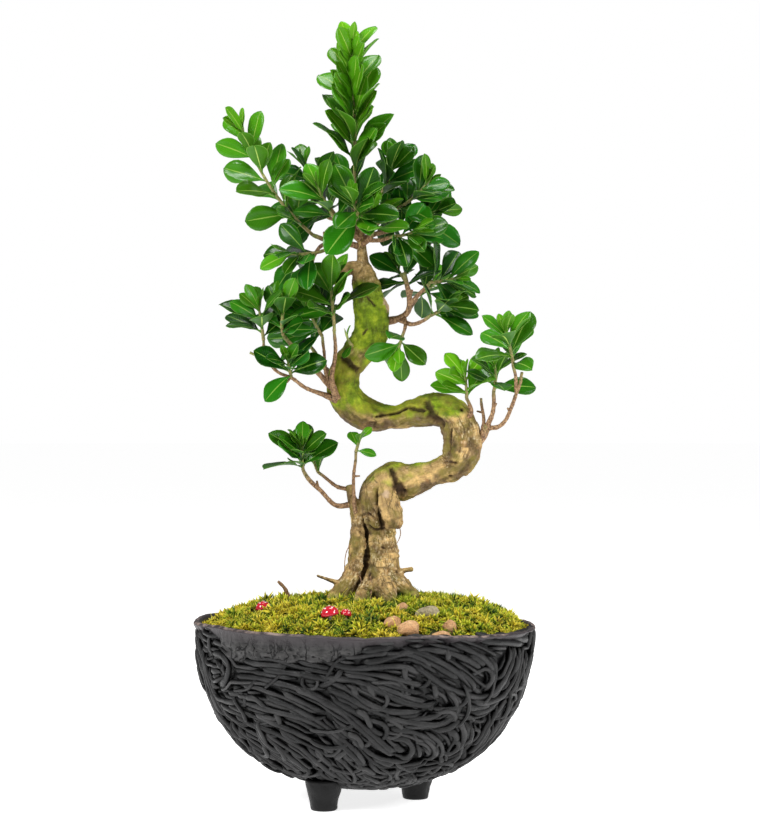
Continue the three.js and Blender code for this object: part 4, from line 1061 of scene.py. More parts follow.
def shape_bowl_shell(mesh):
    """Draws the wall in under the strands, dabs the smeared band and waves the rim."""
    places = places_of(mesh)
    x, y, z = places.T
    angle = np.arctan2(y, x)
    radius = np.hypot(x, y)
    is_outer = (radius > bowl_radius(z, 4.0)) & (z < RIM_HEIGHT - 4.4)
    length = np.interp(RIM_HEIGHT - z, RIM_HEIGHT - _heights, WALL_LENGTHS)
    length = np.where(z < BASE_HEIGHT + 0.01, WALL_LENGTHS[-1] - radius, length)
    dabs = 2.4 * cloud(places / [1, 1, 0.55], 15, 1)
    dabs = dabs + 2.2 * np.abs(cloud(places / [2.2, 2.2, 0.8], 6.5, 2, 3)) - 0.8
    dabs -= 2.8 * smoothstep(cloud(places, 6, 3), 0.22, 0.45)
    below = smoothstep(length, smear_depth(angle) - 2, smear_depth(angle) + 2)
    band = 1 - below
    inset = SMEAR_INSET + STRAND_ROOM * below
    out = -inset + np.clip(dabs * (0.3 + 1.2 * band), -2.6, 1.3) * smoothstep(length, 2, 9)
    moved, _ = on_wall(angle, length, out)
    low = z < BASE_HEIGHT + 2.5
    places = np.where((is_outer & ~low)[:, None], moved, places)
    outer_lip = radius > BOWL_RADIUS - LIP_WIDTH * 0.75
    rim = np.where(outer_lip, smoothstep(z, RIM_HEIGHT - 8, RIM_HEIGHT - 0.3), 0.4 * (z > RIM_HEIGHT - 12))
    set_attribute(mesh, "rim", rim)
    lip = smoothstep(z, RIM_HEIGHT - 17, RIM_HEIGHT - 4.5)
    around = np.stack([np.cos(angle) * BOWL_RADIUS, np.sin(angle) * BOWL_RADIUS, z * 0], axis=1)
    places[:, 2] += lip * (rim_wave(angle) + 1.1 * cloud(around, 16, 3, 3))
    lean = 1 + lip * 0.0035 * cloud(around + [0, 0, 9], 30, 4)
    places[:, :2] *= np.minimum(lean, BOWL_RADIUS * 1.004 / np.maximum(radius, 1))[:, None]
    set_places(mesh, places * MM)
    # painted shade: behind the strands the low crest paints the wall near black; on the smeared band the
    # crest follows the dabs, darker in their pits
    crest = np.where(is_outer, 0.1 + band * (0.8 + 0.3 * dabs), 0.6)
    set_attribute(mesh, "crest", np.clip(crest, 0, 1))
    set_attribute(mesh, "smear", np.where(is_outer, band * smoothstep(length, 3, 9), 0.0))


def make_foot(place):
    """A stub foot: a cone with a rounded sole, sunk into the bowl."""
    bm = bmesh.new()
    depth = FOOT_HEIGHT - 6
    made = bmesh.ops.create_cone(
        bm, cap_ends=True, segments=40, radius1=FOOT_SOLE_RADIUS, radius2=FOOT_TOP_RADIUS, depth=depth
    )
    bmesh.ops.translate(bm, verts=made["verts"], vec=(0, 0, depth / 2))
    sole = [e for e in bm.edges if all(v.co.z < 0.1 for v in e.verts)]
    bmesh.ops.bevel(bm, geom=sole, offset=2.2, affect="EDGES", segments=4, profile=0.5, material=-1)
    upright = [e for e in bm.edges if abs(e.verts[0].co.z - e.verts[1].co.z) > 10]
    bmesh.ops.subdivide_edges(bm, edges=upright, cuts=8, use_grid_fill=False)
    for vert in bm.verts:
        lump = noise.fractal(vert.co / 9 + Vector((*place, 0)), 1.0, 2.0, 2)
        flat = smoothstep(vert.co.z, 0, 3)
        flare = 1 + 0.05 * lump * flat + 0.14 * smoothstep(vert.co.z, 8, 26)
        vert.co.x *= flare
        vert.co.y *= flare
    bmesh.ops.translate(bm, verts=bm.verts, vec=(*place, 0))
    bmesh.ops.recalc_face_normals(bm, faces=bm.faces)
    return mesh_of(bm, "foot")


def seen_on_bowl(path):
    """A path given in picture points, as (angle, length) places on the front of the bowl."""
    knots = np.array(path, float)
    share = run_lengths(knots)
    fine = np.arange(0, share[-1], 2.6)
    knots = np.stack([np.interp(fine, share, knots[:, i]) for i in (0, 1)], axis=1)
    for _ in range(6):
        knots[1:-1] = 0.5 * knots[1:-1] + 0.25 * (knots[:-2] + knots[2:])
    y = np.full(len(knots), -150.0)
    for _ in range(12):
        scale = PICTURE_POINT * (1 - y / CAMERA_PLACE[1])
        x = CAMERA_PLACE[0] + (knots[:, 0] - PICTURE_MIDDLE[0]) * scale
        z = CAMERA_PLACE[2] - (knots[:, 1] - PICTURE_MIDDLE[1]) * scale
        z = np.clip(z, BASE_HEIGHT + 0.5, RIM_HEIGHT)
        y = -np.sqrt(np.maximum(bowl_radius(z, 2) ** 2 - x**2, 1.0))
    length = np.interp(RIM_HEIGHT - z, RIM_HEIGHT - _heights, WALL_LENGTHS)
    return np.stack([np.arctan2(y, x), length], axis=1)


def mirrored(path):
    """The same path on the back of the bowl."""
    return path * [-1, 1]


class StrandCourse:
    """Which way the strands run: alongside the guides."""

    def __init__(self, guides):
        middles, headings = [], []
        for path in guides:
            places, _ = on_wall(path[:, 0], path[:, 1])
            middles.append((places[1:] + places[:-1]) / 2)
            radius = np.interp(path[1:, 1], WALL_LENGTHS, _radii)
            headings.append(np.arctan2(-np.diff(path[:, 1]), np.diff(path[:, 0]) * radius))
        self.middles = np.vstack(middles)
        self.headings = np.concatenate(headings)

    def at(self, angle, length):
        """Heading in radians: 0 is level and to the right, seen from outside."""
        place, _ = on_wall(np.array(angle), np.array(length))
        weight = 1 / (((self.middles - place) ** 2).sum(1) + 12) ** 1.6
        climb = (weight * np.sin(2 * self.headings)).sum()
        level = (weight * np.cos(2 * self.headings)).sum()
        return 0.5 * math.atan2(climb, level) + 0.22 * noise.noise(Vector(place / 24))


class StrandLayer:
    """Lays strands on the wall and knows where they already lie."""

    CELL = 7.0
    STEP = 3.2

    def __init__(self, seed, guides):
        self.draw = np.random.default_rng(seed)
        self.course = StrandCourse(guides)
        self.lowest = WALL_LENGTHS[-1] - BARE_BASE
        self.cells = {}
        self.runs = []

    def key(self, place):
        return tuple(int(math.floor(c / self.CELL)) for c in place)

    def crowded(self, angle, length, gap):
        """Whether an earlier strand lies nearer than gap."""
        place = on_wall(np.array(angle), np.array(length))[0]
        cells = itertools.product(*((k - 1, k, k + 1) for k in self.key(place)))
        near = (other for cell in cells for other in self.cells.get(cell, ()))
        return any(sum((a - b) ** 2 for a, b in zip(other, place)) < gap * gap for other in near)

    def is_free(self, angle, length, gap):
        if length > self.lowest or length < smear_depth(angle) - 5:
            return False
        return not (gap and self.crowded(angle, length, gap))

    def moved(self, angle, length, heading, step):
        radius = max(LEAST_RADIUS, float(np.interp(length, WALL_LENGTHS, _radii)))
        return angle + step * math.cos(heading) / radius, length - step * math.sin(heading)

    def walk(self, angle, length, heading, reach, gap, turning=None):
        """One end of a strand, as (angle, length) places: along the course, or as turning says."""
        found = []
        gone = 0.0
        while gone < reach:
            if turning is None:
                course = self.course.at(angle, length)
                heading = course if math.cos(course - heading) > 0 else course + math.pi
            else:
                heading += turning(gone) * self.STEP
            angle, length = self.moved(angle, length, heading, self.STEP)
            gone += self.STEP
            if not self.is_free(angle, length, gap):
                break
            found.append((angle, length))
        return found

    def grow(self, angle, length, gap, reach, least):
        """A strand along the course through a place, if there is room for one."""
        heading = self.course.at(angle, length)
        path = self.walk(angle, length, heading + math.pi, reach, gap)[::-1] + [(angle, length)]
        path += self.walk(angle, length, heading, reach, gap)
        if len(path) * self.STEP < least:
            return None
        width = 2.2 + 2.9 * self.draw.random() ** 1.7
        return self.lay(path, width, 2.8 + 0.4 * self.draw.random(), 1.3 * self.draw.random())

    def lay(self, path, width, height, lift, mark=True):
        """Keeps a strand and marks where it lies."""
        run = np.array(path)
        self.runs.append((run, width, height, lift))
        if mark:
            for place in on_wall(run[:, 0], run[:, 1])[0]:
                self.cells.setdefault(self.key(place), []).append(tuple(place))
        return run


def lay_strands(seed):
    """Every strand of the bowl: a close first layer, then loops and crossing strands over it."""
    front = [seen_on_bowl(path) for path in GUIDES]
    guides = front + [mirrored(path) for path in front]
    layer = StrandLayer(seed, guides)
    draw = layer.draw
    waiting = []
    for path in guides:
        kept = [tuple(place) for place in path if layer.is_free(*place, GUIDE_ROOM)]
        if len(kept) >= FEWEST_PLACES:
            waiting.append(layer.lay(kept, *GUIDE_STRAND))
    while waiting:
        run = waiting.pop(0)
        for i in range(1, len(run) - 1, 3):
            ahead = run[i + 1] - run[i - 1]
            heading = math.atan2(-ahead[1], ahead[0] * float(np.interp(run[i][1], WALL_LENGTHS, _radii)))
            for side in (1, -1):
                gap = BESIDE_ROOM + 1.3 * draw.random()
                angle, length = layer.moved(*run[i], heading + side * math.pi / 2, gap)
                if layer.is_free(angle, length, gap * 0.96):
                    grown = layer.grow(angle, length, gap * 0.66, 24 + 80 * draw.random(), 17)
                    if grown is not None:
                        waiting.append(grown)
    for _ in range(GAP_TRIES):
        angle, length = draw.random() * 2 * math.pi, layer.lowest * draw.random() ** 0.85
        if layer.is_free(angle, length, LEFT_ROOM):
            layer.grow(angle, length, 4.2, 30, 9)
    first = len(layer.runs)
    loose = [seen_on_bowl(path) for path in LOOSE]
    for path in loose + [mirrored(path) for path in loose]:
        layer.lay(path, *LOOSE_STRAND, mark=False)
    for _ in range(CROSSING_TRIES):
        # hooks, loops and strands that cross the others
        angle, length = draw.random() * 2 * math.pi, layer.lowest * draw.random() ** 0.8
        if length < smear_depth(angle) + 5:
            continue
        tight = (0.015 + 0.10 * draw.random() ** 2) * (1 if draw.random() < 0.5 else -1)
        straight = 6 + 24 * draw.random()
        facing = layer.course.at(angle, length) + 0.5 * draw.normal()

        def turning(gone, tight=tight, straight=straight):
            return tight if gone > straight else tight * 0.15

        reach = straight + 20 + 26 * draw.random()
        path = [(angle, length)] + layer.walk(angle, length, facing, reach, 0, turning)
        if len(path) > FEWEST_PLACES:
            layer.lay(path, 2.0 + 1.5 * draw.random(), 2.3, 1.8 + 1.4 * draw.random(), mark=False)
    return layer.runs, first


def make_strands(runs, name):
    """Flattened tubes along the strands' paths, sunk at their ends."""
    limbs = Limbs()
    for run, width, height, lift in runs:
        count = len(run)
        steps = np.arange(count)
        from_end = np.minimum(steps, steps[::-1]) * StrandLayer.STEP
        weave = 1.5 * np.sin(steps * (0.13 + 0.05 * math.sin(width * 57)) + 97 * run[0][0] + run[0][1])
        rise = (lift + weave) * smoothstep(from_end, 0, 14) - END_DEPTH * (1 - smoothstep(from_end, 0, 11))
        band = smoothstep(run[:, 1], smear_depth(run[:, 0]) - 4, smear_depth(run[:, 0]) + 9)
        out = -STRAND_DEPTH + 0.8 * (1 - band) + rise * (0.4 + 0.6 * band)
        places, normals = on_wall(run[:, 0], run[:, 1], out)
        tips = 0.34 + 0.66 * smoothstep(from_end, -2, 10)
        lumps = np.sin(steps * 0.5 + width * 40) + 0.6 * np.sin(steps * 1.13 + width * 90)
        radii = width * tips * (1 + 0.085 * lumps)
        add_strand(limbs, places, normals, radii, height / width)
    return limbs.mesh(name)


def add_strand(limbs, places, normals, radii, thin, sides=7):
    """One strand: rings that stay turned to the wall; its crest value paints it brightest on the crest and
    near black on the sides, as painted light and shade.
    """
    along = unit(np.gradient(places, axis=0))
    across = unit(np.cross(along, normals))
    facing = np.cross(across, along)
    angle = ring_angles(sides)
    high = np.cos(angle)
    body = (
        places[:, None]
        + (radii[:, None] * high * thin)[..., None] * facing[:, None]
        + (radii[:, None] * np.sin(angle))[..., None] * across[:, None]
    )
    shape = (limbs.roll(places, body), sides + 1)
    # painted light and shade: 1 on top, 0 underneath
    limbs.values.setdefault("crest", []).append(np.broadcast_to(0.5 + 0.5 * high, shape).ravel())
    reach = run_lengths(places)
    reach = np.concatenate([[0], reach, reach[-1:]])
    columns = (np.sin(angle) * 4, reach[:, None], radii[0] * 60)
    strand = np.stack([np.broadcast_to(column, shape) for column in columns], axis=-1)
    limbs.values.setdefault("strand_place", []).append(strand.reshape(-1, 3) * MM)


# Soil and moss.


def mound(radius):
    """Height of the soil's mound over the edge of its bed."""
    share = np.minimum(1, np.asarray(radius, float) / MOUND_RADIUS)
    return SOIL_CROWN * (1 - share**3.2) ** 0.8


def moss_top(x, y):
    """Height of the moss, in soft cushions that thin out at the edge."""
    radius = np.hypot(x, y)
    cushions = np.sin(x / 16 + 1) * np.cos(y / 14) + 0.7 * np.sin(x / 9 - y / 11)
    bias = 4 * np.exp(-((x - 105) ** 2 + (y - 10) ** 2) / 3600)
    height = MOSS_THICKNESS + (MOSS_LUMP * cushions - 3) * smoothstep(radius, 20, 60) + bias
    return SOIL_EDGE + mound(radius) + height


def moss_tint(x, y):
    """Colour of the moss, 0 deep green to 1 straw: ripest along the front and left edge."""
    flat = np.stack([x, y, np.zeros_like(x)], axis=1)
    patches = cloud(flat, 46, 5, 3)
    small = cloud(flat, 13, 6, 2)
    radius = np.hypot(x, y)
    edge = smoothstep(radius, 150, 186)
    ripe = 0.16 * smoothstep(-y - 0.5 * x, 30, 150)
    return 0.42 + 0.40 * patches + 0.42 * small + ripe + 0.16 * edge


def moss_clumps(x, y):
    """Small clumps in the moss, about -1 to 1."""
    return cloud(np.stack([x, y, 0 * x], axis=1), 11, 8, 2) * 3.4


def make_moss_bed():
    """The mat under the sprigs: a spun mound with fine lumps, closed underneath."""
    outer = MOUND_RADIUS + 1.8
    shares = np.linspace(0, 1, 75)
    profile = [(outer * s, RIM_HEIGHT + 60) for s in shares] + [(MOUND_RADIUS * s, 0) for s in shares[::-4]]
    bm = spun(profile, 200)
    bmesh.ops.remove_doubles(bm, verts=bm.verts, dist=1e-3)
    mesh = mesh_of(bm, "moss_bed")
    places = places_of(mesh)
    x, y, z = places.T
    is_top = z > RIM_HEIGHT
    lumps = 1.1 * moss_clumps(x, y) + 1.0 * cloud(places, 2.6, 9)
    edge = 1 - smoothstep(np.hypot(x, y), outer - 5, outer)
    top = moss_top(x, y) - 2.9 + lumps * edge - 1.5 * (1 - edge)
    under = SOIL_EDGE + mound(np.hypot(x, y)) + GAP
    places[:, 2] = np.where(is_top, top, under)
    set_places(mesh, places * MM)
    set_attribute(mesh, "moss_tint", moss_tint(x, y))
    # painted shade: the low tip value makes the mat near black under the tufts
    set_attribute(mesh, "moss_tip", np.where(is_top, 0.2 + 0.15 * lumps, 0.1))
    return weld(mesh)


def sprig_template(spikes, seed):
    """A moss tuft one unit high: a few three-sided spikes that spread from its foot like a star."""
    draw = np.random.default_rng(seed)
    bm = bmesh.new()
    for i in range(spikes):
        made = bmesh.ops.create_cone(bm, cap_ends=True, segments=3, radius1=0.21, radius2=0, depth=1)["verts"]
        bmesh.ops.translate(bm, verts=made, vec=(0, 0, 0.5))
        tall = 0.7 + 0.4 * draw.random() if i else 0.9
        bmesh.ops.scale(bm, verts=made, vec=(1, 1, tall))
        lean = math.radians(34 + 42 * draw.random()) if i else 0.1
        turn = 2 * math.pi * (i / max(1, spikes - 1)) + 0.7 * draw.random()
        for vert in made:
            x, z = turned(vert.co.x, vert.co.z, -lean)
            vert.co = (*turned(x, vert.co.y, turn), z)
    bmesh.ops.recalc_face_normals(bm, faces=bm.faces)
    return mesh_of(bm, "sprig")


def repeat(template, count, name):
    """One mesh with a template repeated."""
    bm = bmesh.new()
    for _ in range(count):
        bm.from_mesh(template)
    return mesh_of(bm, name)


def keep_out(x, y):
    """Where no sprig grows: under the trunk, the stones and the toadstools."""
    taken = np.zeros_like(x, bool)
    for cx, cy, radius in BARE_GROUND:
        taken |= np.hypot(x - cx, y - cy) < radius
    for _, (cx, cy), half, turn, _, _ in STONES:
        u, v = turned(x - cx, y - cy, -math.radians(turn))
        taken |= (u / (half[0] * 0.98)) ** 2 + (v / (half[1] * 0.98)) ** 2 < 1
    for toadstool, (cx, cy), cap, _ in TOADSTOOLS:
        taken |= np.hypot(x - cx, y - cy) < cap * MOSS_CLEARING[toadstool][0]
    return taken


def make_sprigs(name, count, seed, tall, spikes):
    """Thousands of sprigs over the mound, each leaning its own way."""
    draw = np.random.default_rng(seed)
    radius = (MOUND_RADIUS + 4) * np.sqrt(draw.random(count * 2))
    angle = draw.random(count * 2) * 2 * math.pi
    x, y = radius * np.cos(angle), radius * np.sin(angle)
    free = np.flatnonzero(~keep_out(x, y))[:count]
    x, y, radius = x[free], y[free], radius[free]
    count = len(free)
    template = sprig_template(spikes, seed + 1)
    shape = places_of(template)
    mesh = repeat(template, count, name)
    step = 1.0
    climb_right = moss_top(x + step, y) - moss_top(x - step, y)
    climb_back = moss_top(x, y + step) - moss_top(x, y - step)
    up = unit(-np.stack([climb_right, climb_back, x * 0 - 2 * step], axis=1))
    outward = np.stack([x, y, 0 * x], axis=1) / np.maximum(radius, 1)[:, None]
    lean = draw.normal(0, 0.33, (count, 3)) + outward * (0.8 * smoothstep(radius, 174, 188))[:, None]
    up = unit(up + lean * [1, 1, 0.2])
    way = np.stack([np.cos(draw.random(count) * 7), np.sin(draw.random(count) * 7), 0 * x], axis=1)
    side = unit(np.cross(up, way + 1e-3))
    other = np.cross(up, side)
    edge = smoothstep(radius, 176, 187)
    height = tall * (0.6 + 0.8 * draw.random(count)) * (1 - 0.3 * edge)
    for toadstool, (cx, cy), cap, _ in TOADSTOOLS:
        near = 1 - smoothstep(np.hypot(x - cx, y - cy) / cap, 1.3, 2.2)
        height *= 1 - MOSS_CLEARING[toadstool][1] * near * (y < cy + 0.5 * cap)
    clumps = moss_clumps(x, y)
    height *= 1 + 0.3 * clumps.clip(-2, 2)
    for _, (cx, cy), half, _, _, _ in STONES:
        near = np.hypot((x - cx) / half[0], (y - cy) / half[1])
        height *= 1 - 0.5 * (1 - smoothstep(near, 1.2, 1.8)) * (y < cy + 2)
    base = np.stack([x, y, moss_top(x, y) - MOSS_SINK + 0.8 * edge + 0.9 * clumps], axis=1)
    wide = height * (0.9 + 0.4 * draw.random(count))
    places = (
        base[:, None]
        + (shape[:, 0] * wide[:, None])[..., None] * side[:, None]
        + (shape[:, 1] * wide[:, None])[..., None] * other[:, None]
        + (shape[:, 2] * height[:, None])[..., None] * up[:, None]
    )
    set_places(mesh, places.reshape(-1, 3) * MM)
    tint = moss_tint(x, y) + draw.normal(0, 0.23, count) + 0.10 * clumps.clip(-2, 1)
    per_spike = len(shape) // spikes
    tint = np.repeat(tint, spikes) + draw.normal(0, 0.12, count * spikes)
    set_attribute(mesh, "moss_tint", np.repeat(np.clip(tint, 0, 1), per_spike))
    # tip value from the tuft's foot to its tips: painted shade low down, painted highlight at the tips
    set_attribute(mesh, "moss_tip", np.tile(np.clip(np.linalg.norm(shape, axis=1), 0, 1), count))
    return mesh


def make_stalks(name, count, seed):
    """Thin stalks and dead grass that stand up out of the moss."""
    draw = np.random.default_rng(seed)
    limbs = Limbs()
    while count:
        radius, angle = STALK_REACH * math.sqrt(draw.random()), draw.random() * 2 * math.pi
        x, y = radius * math.cos(angle), radius * math.sin(angle)
        if keep_out(np.array([x]), np.array([y]))[0]:
            continue
        count -= 1
        foot = np.array([x, y, float(moss_top(x, y)) - 2])
        tall = 7 + 10 * draw.random()
        bend = draw.normal(0, 0.45, 2) * tall
        share = np.linspace(0, 1, 5)[:, None]
        path = foot + share * [0, 0, tall] + share**2 * [bend[0], bend[1], 0]
        tint = 0.62 + 0.38 * draw.random()
        # the full tip value gives the stalks the moss's painted highlight
        limbs.add(path, np.linspace(0.42, 0.2, 5), 3, moss_tint=np.full(5, tint), moss_tip=np.full(5, 1.0))
    return limbs.mesh(name)


# Wood.


def trunk_ribs(angle, share):
    """The trunk's section swells and narrows in long ribs that wind slowly round it."""
    return 1 + 0.07 * np.sin(3 * angle + 17 * share) + 0.04 * np.sin(5 * angle - 23 * share)


# Keeps the bark's grain of one limb apart from that of the next.
LIMB_SHIFT = 137.0


def make_wood_core(voxel):
    """Trunk, side stem, roots and stubs, grown together."""
    limbs = Limbs()
    lines = []
    for run, ribbed in [(TRUNK, True), (SIDE_STEM, False)] + [(r, False) for r in ROOTS + STUBS]:
        points, radii = smooth_run(run, 3.0)
        share = np.linspace(0, 1, len(points))

        def ribs(angle, share=share, ribbed=ribbed):
            return trunk_ribs(-angle[None], share[:, None]) if ribbed else np.ones((len(share), len(angle)))

        limbs.add(points, radii, 28, ribs=ribs)
        _, side, other = cross_frames(points)
        lines.append((points, radii, side, other, run_lengths(points) + LIMB_SHIFT * len(lines)))
    mesh = limbs.mesh("wood_core")
    holder = bpy.data.objects.new("wood_core", mesh)
    bpy.context.scene.collection.objects.link(holder)
    remesh = holder.modifiers.new("join", "REMESH")
    remesh.mode = "VOXEL"
    remesh.voxel_size = voxel * MM
    bpy.context.view_layer.update()
    joined = bpy.data.meshes.new_from_object(holder.evaluated_get(bpy.context.evaluated_depsgraph_get()))
    bpy.data.objects.remove(holder)
    bm = bmesh.new()
    bm.from_mesh(joined)
    for _ in range(3):
        bmesh.ops.smooth_vert(
            bm, verts=bm.verts, factor=0.5, use_axis_x=True, use_axis_y=True, use_axis_z=True
        )
    bm.to_mesh(joined)
    bm.free()
    return joined, lines


def carve_bark(mesh, lines):
    """Furrows, wrinkles, wire marks, folds painted dark as shade, algae, and the values for painted shade and
    highlight, by where each point lies on its limb.
    """
    places = places_of(mesh) / MM
    normals = np.empty(len(mesh.vertices) * 3, np.float32)
    mesh.vertices.foreach_get("normal", normals)
    normals = normals.reshape(-1, 3).astype(float)
    table = np.vstack([np.column_stack(line) for line in lines])
    tree = kdtree.KDTree(len(table))
    for i, row in enumerate(table):
        tree.insert(row[:3], i)
    tree.balance()
    nearest = np.empty(len(places), int)
    for i, place in enumerate(places):
        best = min(tree.find_n(place, 6), key=lambda found: found[2] - table[found[1], 3])
        nearest[i] = best[1]
    row = table[nearest]
    away = places - row[:, :3]
    angle = np.arctan2((away * row[:, 7:10]).sum(1), (away * row[:, 4:7]).sum(1))
    girth, reach = row[:, 3], row[:, 10]
    limb_place = np.stack([np.cos(angle) * girth, np.sin(angle) * girth, reach], axis=1)
    fibres = cloud(limb_place * [1, 1, 0.22], 4.2, 11, 3)
    flutes = cloud(limb_place * [1, 1, 0.3], 11, 12, 2)
    wrinkles = cloud(limb_place * [0.5, 0.5, 1.3], 5.5, 13, 2)
    knobs = cloud(places, 13, 14, 2)
    thick = smoothstep(girth, 3, 13)
    height = places[:, 2]
    at_bend = smoothstep(places[:, 0], 84, 100) * hump(height, *RIGHT_BEND)
    calm = smoothstep(height, 326, 356) * (1 - at_bend) * (1 - 0.4 * smoothstep(height, 512, 528))
    push = thick * (2.4 * flutes + 1.8 * knobs) * (1 - 0.2 * calm)
    push += (1 - 0.5 * calm) * ((0.2 + 0.3 * thick) * fibres + 0.9 * thick * wrinkles)
    scar_and_fold = np.zeros(len(places))
    # the folds and crevices are carved and also painted dark, as shade, by the mark
    for first, last, width, depth in SCARS_AND_FOLDS:
        first, last = np.array(first, float), np.array(last, float)
        run = last - first
        share = np.clip(((places - first) @ run) / run.dot(run), 0, 1)
        near = places - (first + share[:, None] * run)
        near = near - normals * (near * normals).sum(1)[:, None] * 0.7
        gap = np.linalg.norm(near, axis=1) + 0.42 * width * cloud(places * [1, 1, 0.6], 4.0, 15, 4)
        ends = 1 - 0.5 * np.abs(2 * share - 1) ** 4
        mark = 1 - smoothstep(gap, width * 0.2 * ends, width * 1.2 * ends)
        lip = hump(gap, width * 0.8, width * 1.3, width * 1.5, width * 2.6)
        push = push * (1 - 0.7 * mark) - depth * mark + 0.8 * lip
        scar_and_fold = np.maximum(scar_and_fold, mark)
    graze = np.zeros(len(places))
    for middle, size in GRAZES:
        gap = np.linalg.norm(places - middle, axis=1) + 0.35 * size * cloud(places, 5, 17, 3)
        graze = np.maximum(graze, 1 - smoothstep(gap, size * 0.5, size))
    moved = places + normals * push[:, None]
    set_places(mesh, moved * MM)
    set_attribute(mesh, "bark_place", limb_place * MM)
    set_attribute(mesh, "scar_and_fold", np.clip(scar_and_fold, 0, 1))
    set_attribute(mesh, "algae", algae_cover(places, normals) * (1 - 0.9 * graze))
    set_attribute(mesh, "graze", graze)
    form = thick * (0.9 * flutes + 0.8 * knobs) + 0.5 * wrinkles + 0.3 * fibres
    form *= 1 - 0.35 * calm
    # the carved form's hollows and rises, for the bark's painted shade and highlight
    set_attribute(mesh, "hollow", np.clip(-1.4 * form, 0, 1))
    set_attribute(mesh, "raised", np.clip(1.4 * form, 0, 1))
    # painted shade: the under value darkens the undersides and left flanks of the limbs; the bark is also
    # darker at the right bend and the neck
    darker_at_bend_and_neck = 0.4 * at_bend + 0.42 * hump(height, *NECK)
    under = darker_at_bend_and_neck + 0.26 * calm - 1.0 * normals[:, 2] - 0.3 * normals[:, 0]
    under = under + (0.3 - 0.12 * calm) * cloud(places, 9, 18, 3)
    set_attribute(mesh, "calm", calm)
    set_attribute(mesh, "under", np.clip(under, 0, 1))


def algae_cover(places, normals):
    """Where algae grows: the upper trunk, most on its front and less on its flanks as painted shading, and
    the tops of the bends.
    """
    x, y, z = places.T
    up = normals[:, 2]
    front = -normals[:, 1]
    # painted shading: algae thickest on the front, thinning on the flanks and back
    upper = hump(z, *UPPER_TRUNK) * (0.75 + 0.45 * front)
    elbow = hump(z, *MIDDLE_BEND) * (1 - smoothstep(x, 95, 120))
    elbow = elbow * np.clip(0.8 + 0.8 * up + 0.3 * smoothstep(x - z * 0.4, -215, -190) * front, 0, 1)
    shoulder = hump(z, *SHOULDER) * np.clip(up - 0.1, 0, 1) * 0.75
    bend = smoothstep(z, 430, 465) * smoothstep(x, 80, 100) * np.clip(0.2 + 0.6 * up, 0, 1) * 0.7
    foot = 0.5 * (1 - smoothstep(z, 228, 262))
    patch = 0.3 * cloud(places, 14, 16, 3)
    return np.clip(upper + elbow + shoulder + bend + foot + patch - 0.05, 0, 1)


def make_twigs():
    """The thin branches, with rings where leaves once grew and stubs at a few of them."""
    limbs = Limbs()
    draw = np.random.default_rng(21)
    for run in TWIGS:
        points, radii = smooth_run(run, 2.2)
        reach = run_lengths(points)
        spacing = 9 + 4 * draw.random()
        ring = np.exp(-(((reach % spacing) - spacing / 2) ** 2) / 0.9)
        wobble = 1 + 0.07 * np.sin(reach / 2.9) * np.cos(reach / 5.1)
        swell = radii * wobble + 0.34 * ring * smoothstep(-radii, -5, -2)
        sway = 0.5 * np.stack([np.sin(reach / 7 + k * 2.1 + run[0][0]) for k in range(3)], axis=1)
        calm = hump(reach, 0, 10, reach[-1] - 10, reach[-1])
        young = smoothstep(reach / reach[-1], 0.75, 1.0) * (0.7 if run[-1][2] > 500 else 0.35)
        limbs.add(points + sway * calm[:, None], swell, 10, young=young)
        if len(run) > 3 and draw.random() < 0.8:
            at = int(len(points) * (0.35 + 0.4 * draw.random()))
            ahead = points[at + 1] - points[at]
            way = unit(np.cross(ahead, draw.normal(0, 1, 3)) + 0.4 * ahead)
            spur = points[at] + np.linspace(0, 7 + 5 * draw.random(), 5)[:, None] * way
            limbs.add(spur, radii[at] * np.linspace(0.75, 0.5, 5), 8, young=np.zeros(5))
    for run in HAIR_ROOTS:
        points, radii = smooth_run(run, 3.0)
        limbs.add(points, radii, 5, young=np.zeros(len(points)))
    return limbs.mesh("twigs")


# Leaves.


def shoot_curve(shoot, t):
    """A point and direction along a shoot, from its start (0) to its tip (1)."""
    start, bend, tip = (np.array(p, float) for p in shoot[1:4])
    point = (1 - t) ** 2 * start + 2 * t * (1 - t) * bend + t * t * tip
    return point, unit(2 * (1 - t) * (bend - start) + 2 * t * (tip - bend))


def across_shoot(shoot, axis):
    run = unit(np.array(shoot[3], float) - np.array(shoot[1], float))
    towards = np.array((0, -1, 0) if abs(run[2]) > 0.75 else (0, 0, 1), float)
    side = unit(np.cross(axis, towards))
    return side, np.cross(side, axis)


def stem_radius(t):
    return SHOOT_RADIUS + (TIP_RADIUS - SHOOT_RADIUS) * t


